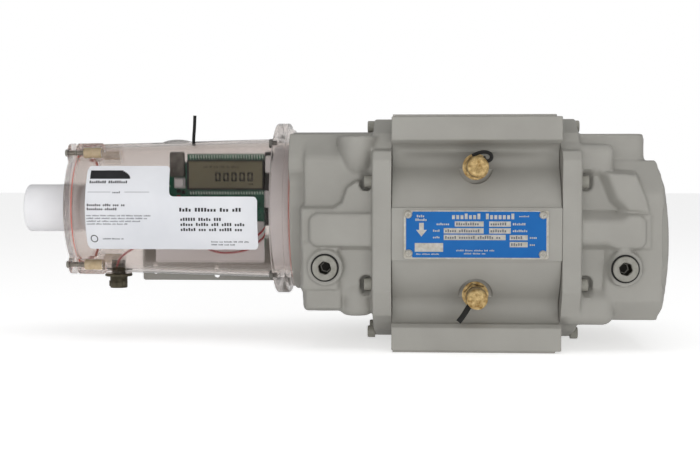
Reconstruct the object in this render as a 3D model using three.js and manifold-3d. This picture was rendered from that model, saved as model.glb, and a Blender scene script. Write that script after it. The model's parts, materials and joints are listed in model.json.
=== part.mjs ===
// Rotary gas meter with an electronic index.
// Two figure-eight impellers turn in a measuring chamber between a top inlet flange and a bottom
// outlet flange. X runs along the impeller shafts, -Y is the front with the nameplate, +Z is up.
// The origin is the centre of the bottom flange's face, on the axis of the gas pipe.
import * as THREE from 'three';
import { mergeVertices } from 'three/addons/utils/BufferGeometryUtils.js';
import Module from 'manifold-3d';

const wasm = await Module();
wasm.setup();

// ---------------------------------------------------------------- driving dimensions, in mm
const FLANGE_TO_FLANGE = 171.45;      // standard 6 3/4 inch face to face
const FLANGE_DEPTH = 190;             // front to back
const FLANGE_THICK = 19;
const RAISED_FACE = 1.6;
const BOLT_CIRCLE = 120.65;           // 2 inch pipe flange
const BOLT_HOLE_R = 6.75;             // tapped for 5/8 inch bolts
const PORT_R = 26.5;                  // 2 inch bore
const BODY_HALF = 60.8;               // half the length of the measuring chamber
const PITCH_R = 34.5;                 // impeller pitch circle, half the shaft spacing
const RUNNING_GAP = 0.45;             // impeller tip to chamber wall
const CHAMBER_R = 1.5 * PITCH_R + RUNNING_GAP;
const BODY_R = 62.5;                  // outside of the measuring chamber
const PAD_FRONT = -97.5;              // face of the nameplate pad
const PAD_HALF_HEIGHT = 19;
const GAP = 0.3;                      // between pieces that touch
const SHAFT_R = 8.2;
const BEARING_R = 20;
const BEARING_WIDTH = 11;
const HEADPLATE = 12;                 // thickness
const HEADPLATE_R = 54;               // its figure-eight outline, inside the cover screws
const RIM_OUT = 75;                   // X of the end covers' rim face
const RIM_HALF = { y: 96.5, z: 84 };  // its half size
const CASE_HALF = 87;                 // half depth of both covers' cases
const CASE_WALL = 5;
const DRIVE_CASE = { end: 126, z: [-59, 72.5] };
const THRUST_CASE = { end: 136, z: [-64, 53], box: 128 };
const SLAB = { front: -91, z: [-11, 15] };      // raised band on the front of both covers
const NECK_R = 63.5;                  // round neck that carries the index
const NECK_BORE_R = 50;
const SCREW_R = 2.6;
const SCREW_HEAD_R = 4.6;
const SCREW_SPOTS = [[20, 79.5], [79, 37.5]];   // one quadrant of the cover screws, Y and Z
const GEAR_TEETH = 24;
const GEAR_WIDTH = 14;
const SLINGER_R = 46;
const OIL_PLUG_Z = -24.7;
const OIL_PLUG_X = { drive: -109, thrust: 106 };
const OIL_PLUG_R = 8;
const PLUG_BOSS_R = 13;
const PLUG_FACE = -91;                // Y of the bosses the plugs screw into
const TAPS = [{ name: 'upper', z: 48.3 }, { name: 'lower', z: -45 }];
const TAP_FACE = -76;                 // spot face of the pressure taps
const TAP_FACE_R = 12.5;
const TAP_BORE_R = 5.3;
const INDEX_Z = 16;                   // index axis above the middle of the body
const NECK_FACE = -138;
const RING_R = 67;
const RING_FACES = [-153, -143];
const TUBE_R = { ring: 55, cap: 50.6 };
const TUBE_END = -306;
const TUBE_WALL = 3;
const LUG_R = 6;                      // screw lugs of the cover's far end
const LUG_RADIUS = { lug: 49.5, screw: 51.5 };  // their distance from the index axis
const CAP_FACE = -313;
const BATTERY_TUBE_R = 18.8;
const BATTERY_TUBE_END = -354;
const CONNECTOR_X = -280.5;
const BADGE = { x: [-272, -154.5], y: [56.5, 58.5], z: [-46, -8], holes: [[-264.5, -39], [-212, -42]] };

// ---------------------------------------------------------------- solids and placing
const AXES = {
  X: new THREE.Matrix4().makeBasis(new THREE.Vector3(0, 1, 0), new THREE.Vector3(0, 0, 1),
    new THREE.Vector3(1, 0, 0)),
  Y: new THREE.Matrix4().makeBasis(new THREE.Vector3(0, 0, 1), new THREE.Vector3(1, 0, 0),
    new THREE.Vector3(0, 1, 0)),
  Z: new THREE.Matrix4(),
};

/** A closed geometry as a solid that can be joined and cut. */
function solid(geometry) {
  geometry.deleteAttribute('normal');
  geometry.deleteAttribute('uv');
  const merged = mergeVertices(geometry, 1e-4);
  return new wasm.Manifold(new wasm.Mesh({
    numProp: 3,
    vertProperties: new Float32Array(merged.attributes.position.array),
    triVerts: new Uint32Array(merged.index.array),
  }));
}

function box(x, y, z) {
  const geometry = new THREE.BoxGeometry(x[1] - x[0], y[1] - y[0], z[1] - z[0]);
  geometry.translate((x[0] + x[1]) / 2, (y[0] + y[1]) / 2, (z[0] + z[1]) / 2);
  return solid(geometry);
}

/** A shape drawn in (Y, Z), pushed along X from one place to another. */
function prismX(shape, from, to, curveSegments = 12) {
  const geometry = new THREE.ExtrudeGeometry(shape,
    { depth: to - from, bevelEnabled: false, curveSegments });
  geometry.applyMatrix4(AXES.X);
  geometry.translate(from, 0, 0);
  return solid(geometry);
}

/** A cylinder, cone or prism along an axis; centre gives the two other coordinates in X, Y, Z order. */
function rod(axis, radius, from, to, centre = [0, 0], sides = 32, farRadius = radius) {
  const geometry = new THREE.CylinderGeometry(farRadius, radius, to - from, sides);
  geometry.rotateX(Math.PI / 2);
  geometry.translate(0, 0, (from + to) / 2);
  geometry.applyMatrix4(AXES[axis]);
  const [a, b] = centre;
  const place = { X: [0, a, b], Y: [a, 0, b], Z: [a, b, 0] }[axis];
  geometry.translate(...place);
  return solid(geometry);
}

/** A profile of [radius, height] points turned about an axis. */
function turned(axis, profile, centre = [0, 0], sides = 32) {
  const geometry = new THREE.LatheGeometry(profile.map(([r, h]) => new THREE.Vector2(r, h)), sides);
  geometry.rotateX(Math.PI / 2);
  geometry.applyMatrix4(AXES[axis]);
  const [a, b] = centre;
  const place = { X: [0, a, b], Y: [a, 0, b], Z: [a, b, 0] }[axis];
  geometry.translate(...place);
  const made = solid(geometry);
  if (made.volume() > 0) return made;
  return turned(axis, [...profile].reverse(), centre, sides);
}

function joined(parts) {
  return parts.reduce((sum, next) => sum.add(next));
}

function cut(base, holes) {
  return holes.reduce((rest, next) => rest.subtract(next), base);
}

const meter = new THREE.Group();
meter.position.z = FLANGE_TO_FLANGE / 2;

const PAINT = { color: 0x9c9a93, roughness: 0.5, metalness: 0.1 };
const CLEAR = { color: 0xe8e0dc, roughness: 0.1, metalness: 0, transparent: true, opacity: 0.35 };
const STEEL = { color: 0x9a9c9e, roughness: 0.35, metalness: 0.9 };
const BRASS = { color: 0xc9a35c, roughness: 0.35, metalness: 0.9 };
const BLACK = { color: 0x1c1b1a, roughness: 0.6, metalness: 0 };
const ALLOY = { color: 0xb4b6b8, roughness: 0.4, metalness: 0.8 };
const WHITE = { color: 0xeeeeee, roughness: 0.5, metalness: 0 };

/** Names a solid and hangs it in the meter's group. */
function node(name, shape, look) {
  const data = shape.getMesh();
  const geometry = new THREE.BufferGeometry();
  geometry.setAttribute('position', new THREE.BufferAttribute(new Float32Array(data.vertProperties), 3));
  geometry.setIndex(new THREE.BufferAttribute(new Uint32Array(data.triVerts), 1));
  geometry.computeVertexNormals();
  const mesh = new THREE.Mesh(geometry, new THREE.MeshStandardMaterial(look));
  mesh.name = name;
  meter.add(mesh);
  return mesh;
}

// ---------------------------------------------------------------- outlines in (Y, Z)
/** Two circles of one radius on the shaft lines, joined by straight top and bottom lines. */
function figureEight(radius) {
  const shape = new THREE.Shape();
  shape.moveTo(-PITCH_R, -radius);
  shape.lineTo(PITCH_R, -radius);
  shape.absarc(PITCH_R, 0, radius, -Math.PI / 2, Math.PI / 2, false);
  shape.lineTo(-PITCH_R, radius);
  shape.absarc(-PITCH_R, 0, radius, Math.PI / 2, Math.PI * 1.5, false);
  return shape;
}

/** A rectangle with cut corners, [y0, y1] by [z0, z1]. */
function chamfered(y, z, cutY, cutZ = cutY) {
  const points = [[y[0] + cutY, z[0]], [y[1] - cutY, z[0]], [y[1], z[0] + cutZ], [y[1], z[1] - cutZ],
    [y[1] - cutY, z[1]], [y[0] + cutY, z[1]], [y[0], z[1] - cutZ], [y[0], z[0] + cutZ]];
  return new THREE.Shape(points.map(([a, b]) => new THREE.Vector2(a, b)));
}

/** The four mirror images of each cover screw's place. */
const screwPlaces = SCREW_SPOTS.flatMap(([y, z]) => [[-y, z], [y, z], [-y, -z], [y, -z]]);

// ---------------------------------------------------------------- meter body
const half = FLANGE_TO_FLANGE / 2;

function meterBody() {
  const parts = [prismX(figureEight(BODY_R), -BODY_HALF, BODY_HALF, 14)];
  const holes = [];
  const bolt = BOLT_CIRCLE / 2 * Math.SQRT1_2;
  for (const side of [-1, 1]) {
    const zRange = (a, b) => (side > 0 ? [a, b] : [-b, -a]);
    const flangeZ = zRange(half - FLANGE_THICK, half - RAISED_FACE);
    parts.push(box([-BODY_HALF, BODY_HALF], [-FLANGE_DEPTH / 2, FLANGE_DEPTH / 2], flangeZ));
    const inset = 3;
    parts.push(box([-BODY_HALF + inset, BODY_HALF - inset],
      [-FLANGE_DEPTH / 2 + inset, FLANGE_DEPTH / 2 - inset], zRange(half - RAISED_FACE - 1, half)));
    const neck = [-70, 70];
    parts.push(box([-BODY_HALF, BODY_HALF], neck, zRange(45, half - FLANGE_THICK + 1)));
    holes.push(rod('Z', PORT_R, ...zRange(0, half + 1), [0, 0], 28));
    for (const [x, y] of [[-bolt, -bolt], [bolt, -bolt], [-bolt, bolt], [bolt, bolt]]) {
      holes.push(rod('Z', BOLT_HOLE_R, ...zRange(half - 22, half + 1), [x, y], 12));
    }
  }
  parts.push(box([-BODY_HALF, BODY_HALF], [PAD_FRONT, -60], [-PAD_HALF_HEIGHT, PAD_HALF_HEIGHT]));
  holes.push(prismX(figureEightBore(), -BODY_HALF - 1, BODY_HALF + 1, 18));
  for (const tap of TAPS) {
    holes.push(rod('Y', TAP_FACE_R, -110, TAP_FACE, [0, tap.z], 24));
    holes.push(rod('Y', TAP_BORE_R, TAP_FACE - 1, -50, [0, tap.z], 16));
  }
  for (const end of [-1, 1]) {
    for (const place of screwPlaces) {
      const reach = [end * (BODY_HALF - 14), end * (BODY_HALF + 1)].sort((a, b) => a - b);
      holes.push(rod('X', SCREW_R + GAP, ...reach, place, 8));
    }
  }
  return cut(joined(parts), holes);
}

/** The chamber: two overlapping circles, with no straight lines between them. */
function figureEightBore() {
  const meet = Math.acos(PITCH_R / CHAMBER_R);
  const shape = new THREE.Shape();
  shape.absarc(PITCH_R, 0, CHAMBER_R, -Math.PI + meet, Math.PI - meet, false);
  shape.absarc(-PITCH_R, 0, CHAMBER_R, meet, 2 * Math.PI - meet, false);
  return shape;
}

node('meter_body', meterBody(), PAINT);

// ---------------------------------------------------------------- impellers, shafts and gears
/** Two-lobe cycloid: epicycloid lobes and hypocycloid waists rolled by a quarter-size circle. */
function impellerShape(lobeAngle, shrink) {
  const roll = PITCH_R / 4;
  const points = [];
  const steps = 12;
  for (let arc = 0; arc < 4; arc += 1) {
    const lobe = arc % 2 === 0;
    const start = -Math.PI / 4 + arc * Math.PI / 2;
    for (let i = 0; i < steps; i += 1) {
      const t = (i / steps) * (Math.PI / 2);
      const sum = lobe ? PITCH_R + roll : PITCH_R - roll;
      const spin = lobe ? sum / roll * t : -sum / roll * t;
      const reach = lobe ? -roll : roll;
      const y = sum * Math.cos(t) + reach * Math.cos(spin);
      const z = sum * Math.sin(t) + reach * Math.sin(spin);
      const angle = Math.atan2(z, y) + start + lobeAngle;
      const radius = Math.hypot(y, z) - shrink;
      points.push(new THREE.Vector2(radius * Math.cos(angle), radius * Math.sin(angle)));
    }
  }
  return new THREE.Shape(points);
}

/** Spur gear outline with involute flanks; phase turns it by that part of a tooth. */
function gearShape(pitchR, teeth, phase, backlash = 0.35) {
  const module = 2 * pitchR / teeth;
  const baseR = pitchR * Math.cos(Math.PI / 9);
  const tipR = pitchR + 0.9 * module;
  const rootR = pitchR - 1.2 * module;
  const involute = (r) => {
    const a = Math.acos(Math.min(1, baseR / r));
    return Math.tan(a) - a;
  };
  const halfTooth = Math.PI / 2 / teeth - backlash / 2 / pitchR + involute(pitchR);
  const flank = [Math.max(baseR, rootR + 0.2), pitchR, tipR];
  const points = [];
  for (let i = 0; i < teeth; i += 1) {
    const middle = (i + phase) * 2 * Math.PI / teeth;
    const rootHalf = halfTooth + 0.01;
    points.push([rootR, middle - rootHalf]);
    flank.forEach((r) => points.push([r, middle - halfTooth + involute(r)]));
    [...flank].reverse().forEach((r) => points.push([r, middle + halfTooth - involute(r)]));
    points.push([rootR, middle + rootHalf]);
  }
  return new THREE.Shape(points.map(([r, a]) => new THREE.Vector2(r * Math.cos(a), r * Math.sin(a))));
}

const bearingFrom = BODY_HALF + 2 * GAP;
const gearFrom = -92;
const rotors = [
  { side: 'front', y: -PITCH_R, lobeAngle: Math.PI / 2, phase: 0, shaftEnd: -106 },
  { side: 'rear', y: PITCH_R, lobeAngle: 0, phase: 0.5, shaftEnd: -99 },
];
for (const { side, y, lobeAngle, phase, shaftEnd } of rotors) {
  const impeller = prismX(impellerShape(lobeAngle, 0.25), -BODY_HALF + 0.5, BODY_HALF - 0.5);
  const cores = [rod('X', SHAFT_R + GAP, -70, 70, [0, 0], 16)];
  for (const end of [-1, 1]) {
    const along = end * 31;      // a lightening core through each lobe
    cores.push(rod('X', 10, -70, 70, [along * Math.cos(lobeAngle), along * Math.sin(lobeAngle)], 16));
  }
  node(`impeller_${side}`, cut(impeller, cores).translate([0, y, 0]), ALLOY);

  node(`shaft_${side}`, turned('X', [[0, shaftEnd], [SHAFT_R - 1, shaftEnd], [SHAFT_R, shaftEnd + 1],
    [SHAFT_R, 83], [SHAFT_R - 1, 84], [0, 84]], [y, 0], 16), STEEL);

  const gear = prismX(gearShape(PITCH_R, GEAR_TEETH, phase), gearFrom, gearFrom + GEAR_WIDTH);
  node(`timing_gear_${side}`,
    gear.subtract(rod('X', SHAFT_R + GAP, gearFrom - 1, gearFrom + GEAR_WIDTH + 1, [0, 0], 16))
      .translate([0, y, 0]), STEEL);

  for (const [end, sign] of [['drive', -1], ['thrust', 1]]) {
    const x = (depth) => sign * (bearingFrom + depth);
    const profile = [[SHAFT_R + GAP, x(0)], [BEARING_R, x(0)], [BEARING_R, x(BEARING_WIDTH)],
      [SHAFT_R + GAP, x(BEARING_WIDTH)], [SHAFT_R + GAP, x(0)]];
    node(`bearing_${end}_${side}`, turned('X', profile, [y, 0], 16), STEEL);
  }
}

/** A thin disc that picks oil up from the sump. */
function slinger(from, y) {
  return turned('X', [[SHAFT_R + GAP, from], [SLINGER_R, from], [SLINGER_R, from + 2],
    [SHAFT_R + GAP, from + 2], [SHAFT_R + GAP, from]], [y, 0], 24);
}
node('oil_slinger_drive', slinger(gearFrom - 4, PITCH_R), STEEL);
node('oil_slinger_thrust', slinger(79, PITCH_R), STEEL);
node('drive_magnet', turned('X', [[0, -114], [11, -114], [12, -113], [12, -105], [11, -104],
  [SHAFT_R + GAP, -104], [SHAFT_R + GAP, -106 - GAP], [0, -106 - GAP]], [-PITCH_R, 0], 16), BLACK);

// ---------------------------------------------------------------- headplates
for (const [end, sign] of [['drive', -1], ['thrust', 1]]) {
  const from = BODY_HALF + GAP;
  const reach = [sign * from, sign * (from + HEADPLATE)].sort((a, b) => a - b);
  const bores = [-PITCH_R, PITCH_R].map((y) =>
    rod('X', BEARING_R + GAP, reach[0] - 1, reach[1] + 1, [y, 0], 24));
  node(`headplate_${end}`, cut(prismX(figureEight(HEADPLATE_R), ...reach, 10), bores), ALLOY);
}

// ---------------------------------------------------------------- end covers
/** The rim that both covers are screwed on by. */
function coverRim(sign) {
  const reach = [sign * (BODY_HALF + GAP), sign * RIM_OUT].sort((a, b) => a - b);
  const { y, z } = RIM_HALF;
  return prismX(chamfered([-y, y], [-z, z], 46, 28), ...reach);
}

/** Clearance holes for the cover screws. */
function rimHoles(sign) {
  const reach = [sign * (BODY_HALF - 2), sign * (RIM_OUT + 1)].sort((a, b) => a - b);
  return screwPlaces.map((place) => rod('X', SCREW_R + GAP, ...reach, place, 8));
}

/** Pockets, open to the side, around the screw heads that stand on the rim face. */
function headRoom(sign) {
  const reach = [sign * RIM_OUT, sign * (RIM_OUT + 11)].sort((a, b) => a - b);
  return screwPlaces.filter(([y]) => Math.abs(y) > 50).map(([y, z]) =>
    box(reach, [y < 0 ? -100 : 72, y < 0 ? -72 : 100], [z - 7, z + 7]));
}

function plugBoss(x) {
  return rod('Y', PLUG_BOSS_R, PLUG_FACE, -60, [x, OIL_PLUG_Z], 24);
}

function plugHole(x) {
  return rod('Y', OIL_PLUG_R + GAP, PLUG_FACE - 1, -60, [x, OIL_PLUG_Z], 20);
}

/** The opening in a rim that the headplate sits in. */
function headplateOpening(from, to) {
  return prismX(figureEight(HEADPLATE_R + GAP), from, to, 10);
}

/** Gear case: the raised band, the round neck and the corner boss are joined to its chamfered box. */
function driveCover() {
  const { end, z } = DRIVE_CASE;
  const inner = CASE_HALF - CASE_WALL;
  const outside = [
    coverRim(-1),
    prismX(chamfered([-CASE_HALF, CASE_HALF], z, 18), -end, -RIM_OUT + 1),
    rod('X', NECK_R, NECK_FACE, -end + 6, [0, INDEX_Z], 36)
      .intersect(box([-140, -119], [-80, 80], [-60, 73.5])),
    box([-end, -RIM_OUT + 1], [SLAB.front, -80], SLAB.z),
    plugBoss(OIL_PLUG_X.drive),
    rod('Z', 16, -62, -45, [-90, -62], 20),
  ];
  const inside = [
    headplateOpening(-RIM_OUT + 1, -BODY_HALF),
    prismX(chamfered([-inner, inner], [-53, 57], 14), -119, -RIM_OUT + 1.5),
    rod('X', NECK_BORE_R, NECK_FACE - 1, -124, [0, INDEX_Z], 32),
    ...rimHoles(-1), ...headRoom(-1), plugHole(OIL_PLUG_X.drive),
  ];
  return cut(joined(outside), inside);
}

/** Oil case: a domed end, a box above, the raised band and the corner boss. */
function thrustCover() {
  const { end, z, box: boxEnd } = THRUST_CASE;
  const inner = CASE_HALF - CASE_WALL;
  const outside = [
    coverRim(1),
    prismX(chamfered([-CASE_HALF, CASE_HALF], z, 22), RIM_OUT - 1, end),
    prismX(chamfered([-80, 80], [-58, 47], 22), end - 1, end + 4),
    prismX(chamfered([-66, 66], [0, 72.5], 16), RIM_OUT - 1, boxEnd),
    box([RIM_OUT - 1, boxEnd], [SLAB.front, -80], SLAB.z),
    plugBoss(OIL_PLUG_X.thrust),
    rod('Z', 16, -66, -45, [90, -62], 20),
  ];
  const inside = [
    headplateOpening(BODY_HALF, RIM_OUT - 1),
    prismX(chamfered([-inner, inner], [-54, 47], 16), RIM_OUT - 1.5, 130),
    ...rimHoles(1), ...headRoom(1), plugHole(OIL_PLUG_X.thrust),
  ];
  return cut(joined(outside), inside);
}

node('drive_end_cover', driveCover(), PAINT);
node('thrust_end_cover', thrustCover(), PAINT);

// ---------------------------------------------------------------- cover screws
/** Cap screw along X, its head outboard of the rim. */
function coverScrew(sign, place) {
  const at = (x) => sign * x;
  return turned('X', [[0, at(49)], [SCREW_R, at(49)], [SCREW_R, at(RIM_OUT + GAP)],
    [SCREW_HEAD_R, at(RIM_OUT + GAP)], [SCREW_HEAD_R, at(RIM_OUT + 6.4)], [0, at(RIM_OUT + 6.4)]], place, 8);
}
for (const [end, sign] of [['drive', -1], ['thrust', 1]]) {
  screwPlaces.forEach((place, i) => node(`cover_screw_${end}_${i + 1}`, coverScrew(sign, place), STEEL));
}

// ---------------------------------------------------------------- oil plugs and their seals
for (const end of ['drive', 'thrust']) {
  const spot = [OIL_PLUG_X[end], OIL_PLUG_Z];
  const profile = [[0, -80], [OIL_PLUG_R, -80], [OIL_PLUG_R, -94.5], [OIL_PLUG_R - 0.5, -95], [0, -95]];
  node(`oil_plug_${end}`, turned('Y', profile, spot, 20).subtract(rod('Y', 4.4, -96, -89, spot, 6)), ALLOY);
  node(`oil_plug_seal_${end}`, turned('Y', [[8.4, PLUG_FACE - GAP], [10.2, PLUG_FACE - GAP], [10.2, -93],
    [8.4, -93], [8.4, PLUG_FACE - GAP]], spot, 20), BLACK);
}

// ---------------------------------------------------------------- pressure taps
for (const { name, z } of TAPS) {
  const spot = [0, z];
  const stem = turned('Y', [[0, -66], [4.9, -66], [4.9, -94], [4.6, -94], [4.6, -108], [0, -108]], spot, 14);
  const hex = rod('Y', 8.6, -89, TAP_FACE - GAP, spot, 6);
  node(`tap_fitting_${name}`, stem.add(hex), BRASS);
  node(`tap_cap_${name}`, turned('Y', [[0, -113.5], [6.6, -113.5], [7.6, -112.5], [7.6, -98], [6.6, -97.4],
    [6.6, -96], [5.2, -96], [5.2, -109], [0, -109]], spot, 16), BRASS);
  const ring = turned('Y', [[5.3, -91.6], [7.6, -91.6], [7.6, -90], [5.3, -90], [5.3, -91.6]], spot, 14);
  const tongue = name === 'upper' ? box([4, 12], [-91.6, -90], [z + 3, z + 12])
    : box([-12, -3], [-91.6, -90], [z - 14, z - 3]);
  node(`tap_tether_${name}`, ring.add(tongue.subtract(rod('Y', 5.3, -95, -85, spot, 14))), BLACK);
}

// ---------------------------------------------------------------- nameplate
node('nameplate', box([-52, 51], [PAD_FRONT - GAP - 0.8, PAD_FRONT - GAP], [-17.6, 17.2]),
  { color: 0x0a6ab5, roughness: 0.4, metalness: 0.3 });

// ---------------------------------------------------------------- clear index cover
const LUG_ANGLES = [55, 125, 235, 305].map((degrees) => degrees * Math.PI / 180);

function onIndex(radius, angle) {
  return [-radius * Math.cos(angle), INDEX_Z + radius * Math.sin(angle)];
}

function clearCover() {
  const outer = [
    rod('X', TUBE_R.cap, TUBE_END, RING_FACES[0] + 1, [0, INDEX_Z], 36, TUBE_R.ring),
    rod('X', RING_R, ...RING_FACES, [0, INDEX_Z], 36),
    rod('X', 62, RING_FACES[1] - 1, NECK_FACE - 1.5, [0, INDEX_Z], 36),
    ...LUG_ANGLES.map((a) => rod('X', LUG_R, TUBE_END, TUBE_END + 18, onIndex(LUG_RADIUS.lug, a), 12)),
    rod('Z', 11, -36.3, -20, [CONNECTOR_X, 0], 24),
  ];
  const bore = rod('X', TUBE_R.cap - TUBE_WALL, TUBE_END - 1, NECK_FACE + 1, [0, INDEX_Z], 36,
    TUBE_R.ring - TUBE_WALL);
  const tapped = LUG_ANGLES.map((a) =>
    rod('X', 1.8, TUBE_END - 1, TUBE_END + 14, onIndex(LUG_RADIUS.screw, a), 6));
  const socket = rod('Z', 6, -40, -20, [CONNECTOR_X, 0], 20);
  return cut(joined(outer), [bore, ...tapped, socket]);
}
node('clear_cover', clearCover(), CLEAR);

node('end_cap_gasket', turned('X', [[44, TUBE_END - GAP - 1.6], [49, TUBE_END - GAP - 1.6],
  [49, TUBE_END - GAP], [44, TUBE_END - GAP], [44, TUBE_END - GAP - 1.6]], [0, INDEX_Z], 28),
{ color: 0xc8503c, roughness: 0.6, metalness: 0 });

const capInside = TUBE_END - 2 * GAP - 1.6;
const capDisc = [rod('X', TUBE_R.cap, CAP_FACE, capInside, [0, INDEX_Z], 36),
  ...LUG_ANGLES.map((a) => rod('X', LUG_R, CAP_FACE, capInside, onIndex(LUG_RADIUS.lug, a), 12))];
node('end_cap', cut(joined(capDisc), [rod('X', BATTERY_TUBE_R + GAP + 0.1, -330, -290, [0, INDEX_Z], 24),
  ...LUG_ANGLES.map((a) => rod('X', 1.8, -330, -290, onIndex(LUG_RADIUS.screw, a), 6))]), CLEAR);

node('base_gasket', turned('X', [[53, NECK_FACE - 1.2], [60, NECK_FACE - 1.2], [60, NECK_FACE - GAP],
  [53, NECK_FACE - GAP], [53, NECK_FACE - 1.2]], [0, INDEX_Z], 28),
{ color: 0xc8503c, roughness: 0.6, metalness: 0 });

/** The label wraps the front of the tapered cover; its upper right corner is cut away for the display. */
function indexLabel() {
  const shell = (offset) => rod('X', TUBE_R.cap + offset, TUBE_END, RING_FACES[0] + 1, [0, INDEX_Z], 36,
    TUBE_R.ring + offset);
  const front = joined([
    box([-295.5, -231.6], [-70, -20], [-14.5, 49.5]),
    box([-232, -163], [-70, -20], [-14.5, 26]),
  ]);
  return shell(0.8).subtract(shell(GAP)).intersect(front);
}
node('index_label', indexLabel(), WHITE);

// ---------------------------------------------------------------- inside the index
node('battery_tube', turned('X', [[0, BATTERY_TUBE_END], [17.3, BATTERY_TUBE_END],
  [BATTERY_TUBE_R, BATTERY_TUBE_END + 1.5], [BATTERY_TUBE_R, -262], [17, -262], [17, -350], [0, -350]],
[0, INDEX_Z], 24), WHITE);
node('battery', turned('X', [[0, -348], [16.4, -348], [16.4, -290], [5, -290], [5, -288], [0, -288]],
  [0, INDEX_Z], 20), { color: 0x3f6fa8, roughness: 0.5, metalness: 0.1 });
node('index_base', turned('X', [[0, -160], [47, -160], [47, -157], [49, -157], [49, -154], [0, -154]],
  [0, INDEX_Z], 28), BLACK);
node('circuit_board', box([-258, -161], [-17.6, -16], [-22, 60]),
  { color: 0x1f5a48, roughness: 0.5, metalness: 0 });
node('lcd_module', box([-221, -162], [-25, -18], [30, 54]),
  { color: 0x24221f, roughness: 0.4, metalness: 0 });
node('board_bracket', box([-230, -224], [-22, -18], [36, 59]), ALLOY);
node('pulse_sensor', joined([rod('X', 7, -136, -126.5, [-PITCH_R, 0], 20),
  rod('X', 4, -152, -135, [-PITCH_R, 0], 16)]), BLACK);
node('pulse_connector', turned('Z', [[0, -48], [6.6, -48], [7.1, -47.4], [7.1, -38.6], [10, -38.6],
  [10, -36.6], [5.5, -36.6], [5.5, -26], [0, -26]], [CONNECTOR_X, 0], 20),
{ color: 0x5c5748, roughness: 0.5, metalness: 0.6 });

// ---------------------------------------------------------------- badge plate and seal
node('badge_plate', cut(box(BADGE.x, BADGE.y, BADGE.z),
  BADGE.holes.map((spot) => rod('Y', 2.4, 50, 70, spot, 14))), PAINT);
node('seal_tie', rod('Z', 1.4, 70, 90, [-220.5, 0], 10), BLACK);

export default meter;
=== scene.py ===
# %% [markdown]
# # Rotary gas meter with an electronic index
#
# The frame holds every rigid piece at its place. This file gives each visible piece its real skin and
# its finish. All shapes are worked out in millimetres with the origin in the middle of the meter body:
# X runs along the impeller shafts, -Y is the front, +Z is up. One function moves them into the frame.

# %% Load the frame
import json

import bmesh
import bpy
import numpy as np
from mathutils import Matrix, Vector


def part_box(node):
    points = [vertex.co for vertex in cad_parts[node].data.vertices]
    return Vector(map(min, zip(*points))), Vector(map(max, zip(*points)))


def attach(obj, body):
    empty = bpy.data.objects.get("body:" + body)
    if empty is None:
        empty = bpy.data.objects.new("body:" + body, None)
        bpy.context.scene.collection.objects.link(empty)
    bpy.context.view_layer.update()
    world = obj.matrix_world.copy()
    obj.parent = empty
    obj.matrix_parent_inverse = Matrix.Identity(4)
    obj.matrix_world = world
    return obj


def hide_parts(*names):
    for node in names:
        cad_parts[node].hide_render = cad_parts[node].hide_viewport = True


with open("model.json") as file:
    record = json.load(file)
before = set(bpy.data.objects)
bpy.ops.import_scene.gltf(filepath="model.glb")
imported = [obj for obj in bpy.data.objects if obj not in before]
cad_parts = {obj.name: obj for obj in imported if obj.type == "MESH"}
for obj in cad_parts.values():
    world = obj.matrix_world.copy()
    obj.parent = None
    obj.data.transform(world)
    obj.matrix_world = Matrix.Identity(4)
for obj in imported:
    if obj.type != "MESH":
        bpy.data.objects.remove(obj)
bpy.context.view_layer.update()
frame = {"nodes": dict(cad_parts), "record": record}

# %% Units and the middle of the body
MM = 0.001
low, high = (np.array(corner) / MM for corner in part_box("meter_body"))
MIDDLE = np.array([0, 0, (low[2] + high[2]) / 2])
HALF_LENGTH = high[0]
FLANGE = high[2] - MIDDLE[2]
PITCH = 34.5            # half the distance between the two shafts
INDEX_Z = 16            # height of the index axis
print("flange to flange", 2 * FLANGE, "body length", 2 * HALF_LENGTH)

# %% [markdown]
# ## Camera, floor and light
#
# A catalogue view: the camera stands a metre away, a little above and to the left of the meter, with a
# longish lens. The room is white and three soft boxes stand in front, above and low in front, so shades
# are soft and surfaces that face the viewer are a little lighter than those that face up or down.

# %% Camera
scene = bpy.context.scene
scene.view_settings.view_transform = "Standard"
camera = bpy.data.objects.new("camera", bpy.data.cameras.new("camera"))
scene.collection.objects.link(camera)
camera.data.lens = 64.91
camera.data.sensor_width = 36
camera.data.clip_end = 50
camera.location = (-0.03791, -1.0, 0.127975)
camera.rotation_euler = np.radians([87.35, 0, 3.33])
scene.camera = camera


# %% Colours
def colour(code):
    """Linear colour of an sRGB hex code: each part divided by 255, then the sRGB curve undone."""
    parts = np.array([int(code[i:i + 2], 16) for i in (0, 2, 4)]) / 255
    linear = np.where(parts <= 0.04045, parts / 12.92, ((parts + 0.055) / 1.055) ** 2.4)
    return (*linear.tolist(), 1.0)


# %% One helper for every shader node
def add(tree, kind, settings=None, links=None):
    """Adds a node. A setting whose name is an input's fills that input, any other is an attribute."""
    made = tree.nodes.new(kind)
    for key, value in (settings or {}).items():
        if isinstance(key, int) or key in made.inputs:
            made.inputs[key].default_value = value
        else:
            setattr(made, key, value)
    for key, source in (links or {}).items():
        tree.links.new(source, made.inputs[key])
    return made


# %% Floor, room and lamps
floor_mesh = bpy.data.meshes.new("studio_floor")
floor_mesh.from_pydata([(-6, -4, 0), (6, -4, 0), (6, 8, 0), (-6, 8, 0)], [], [(0, 1, 2, 3)])
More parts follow.
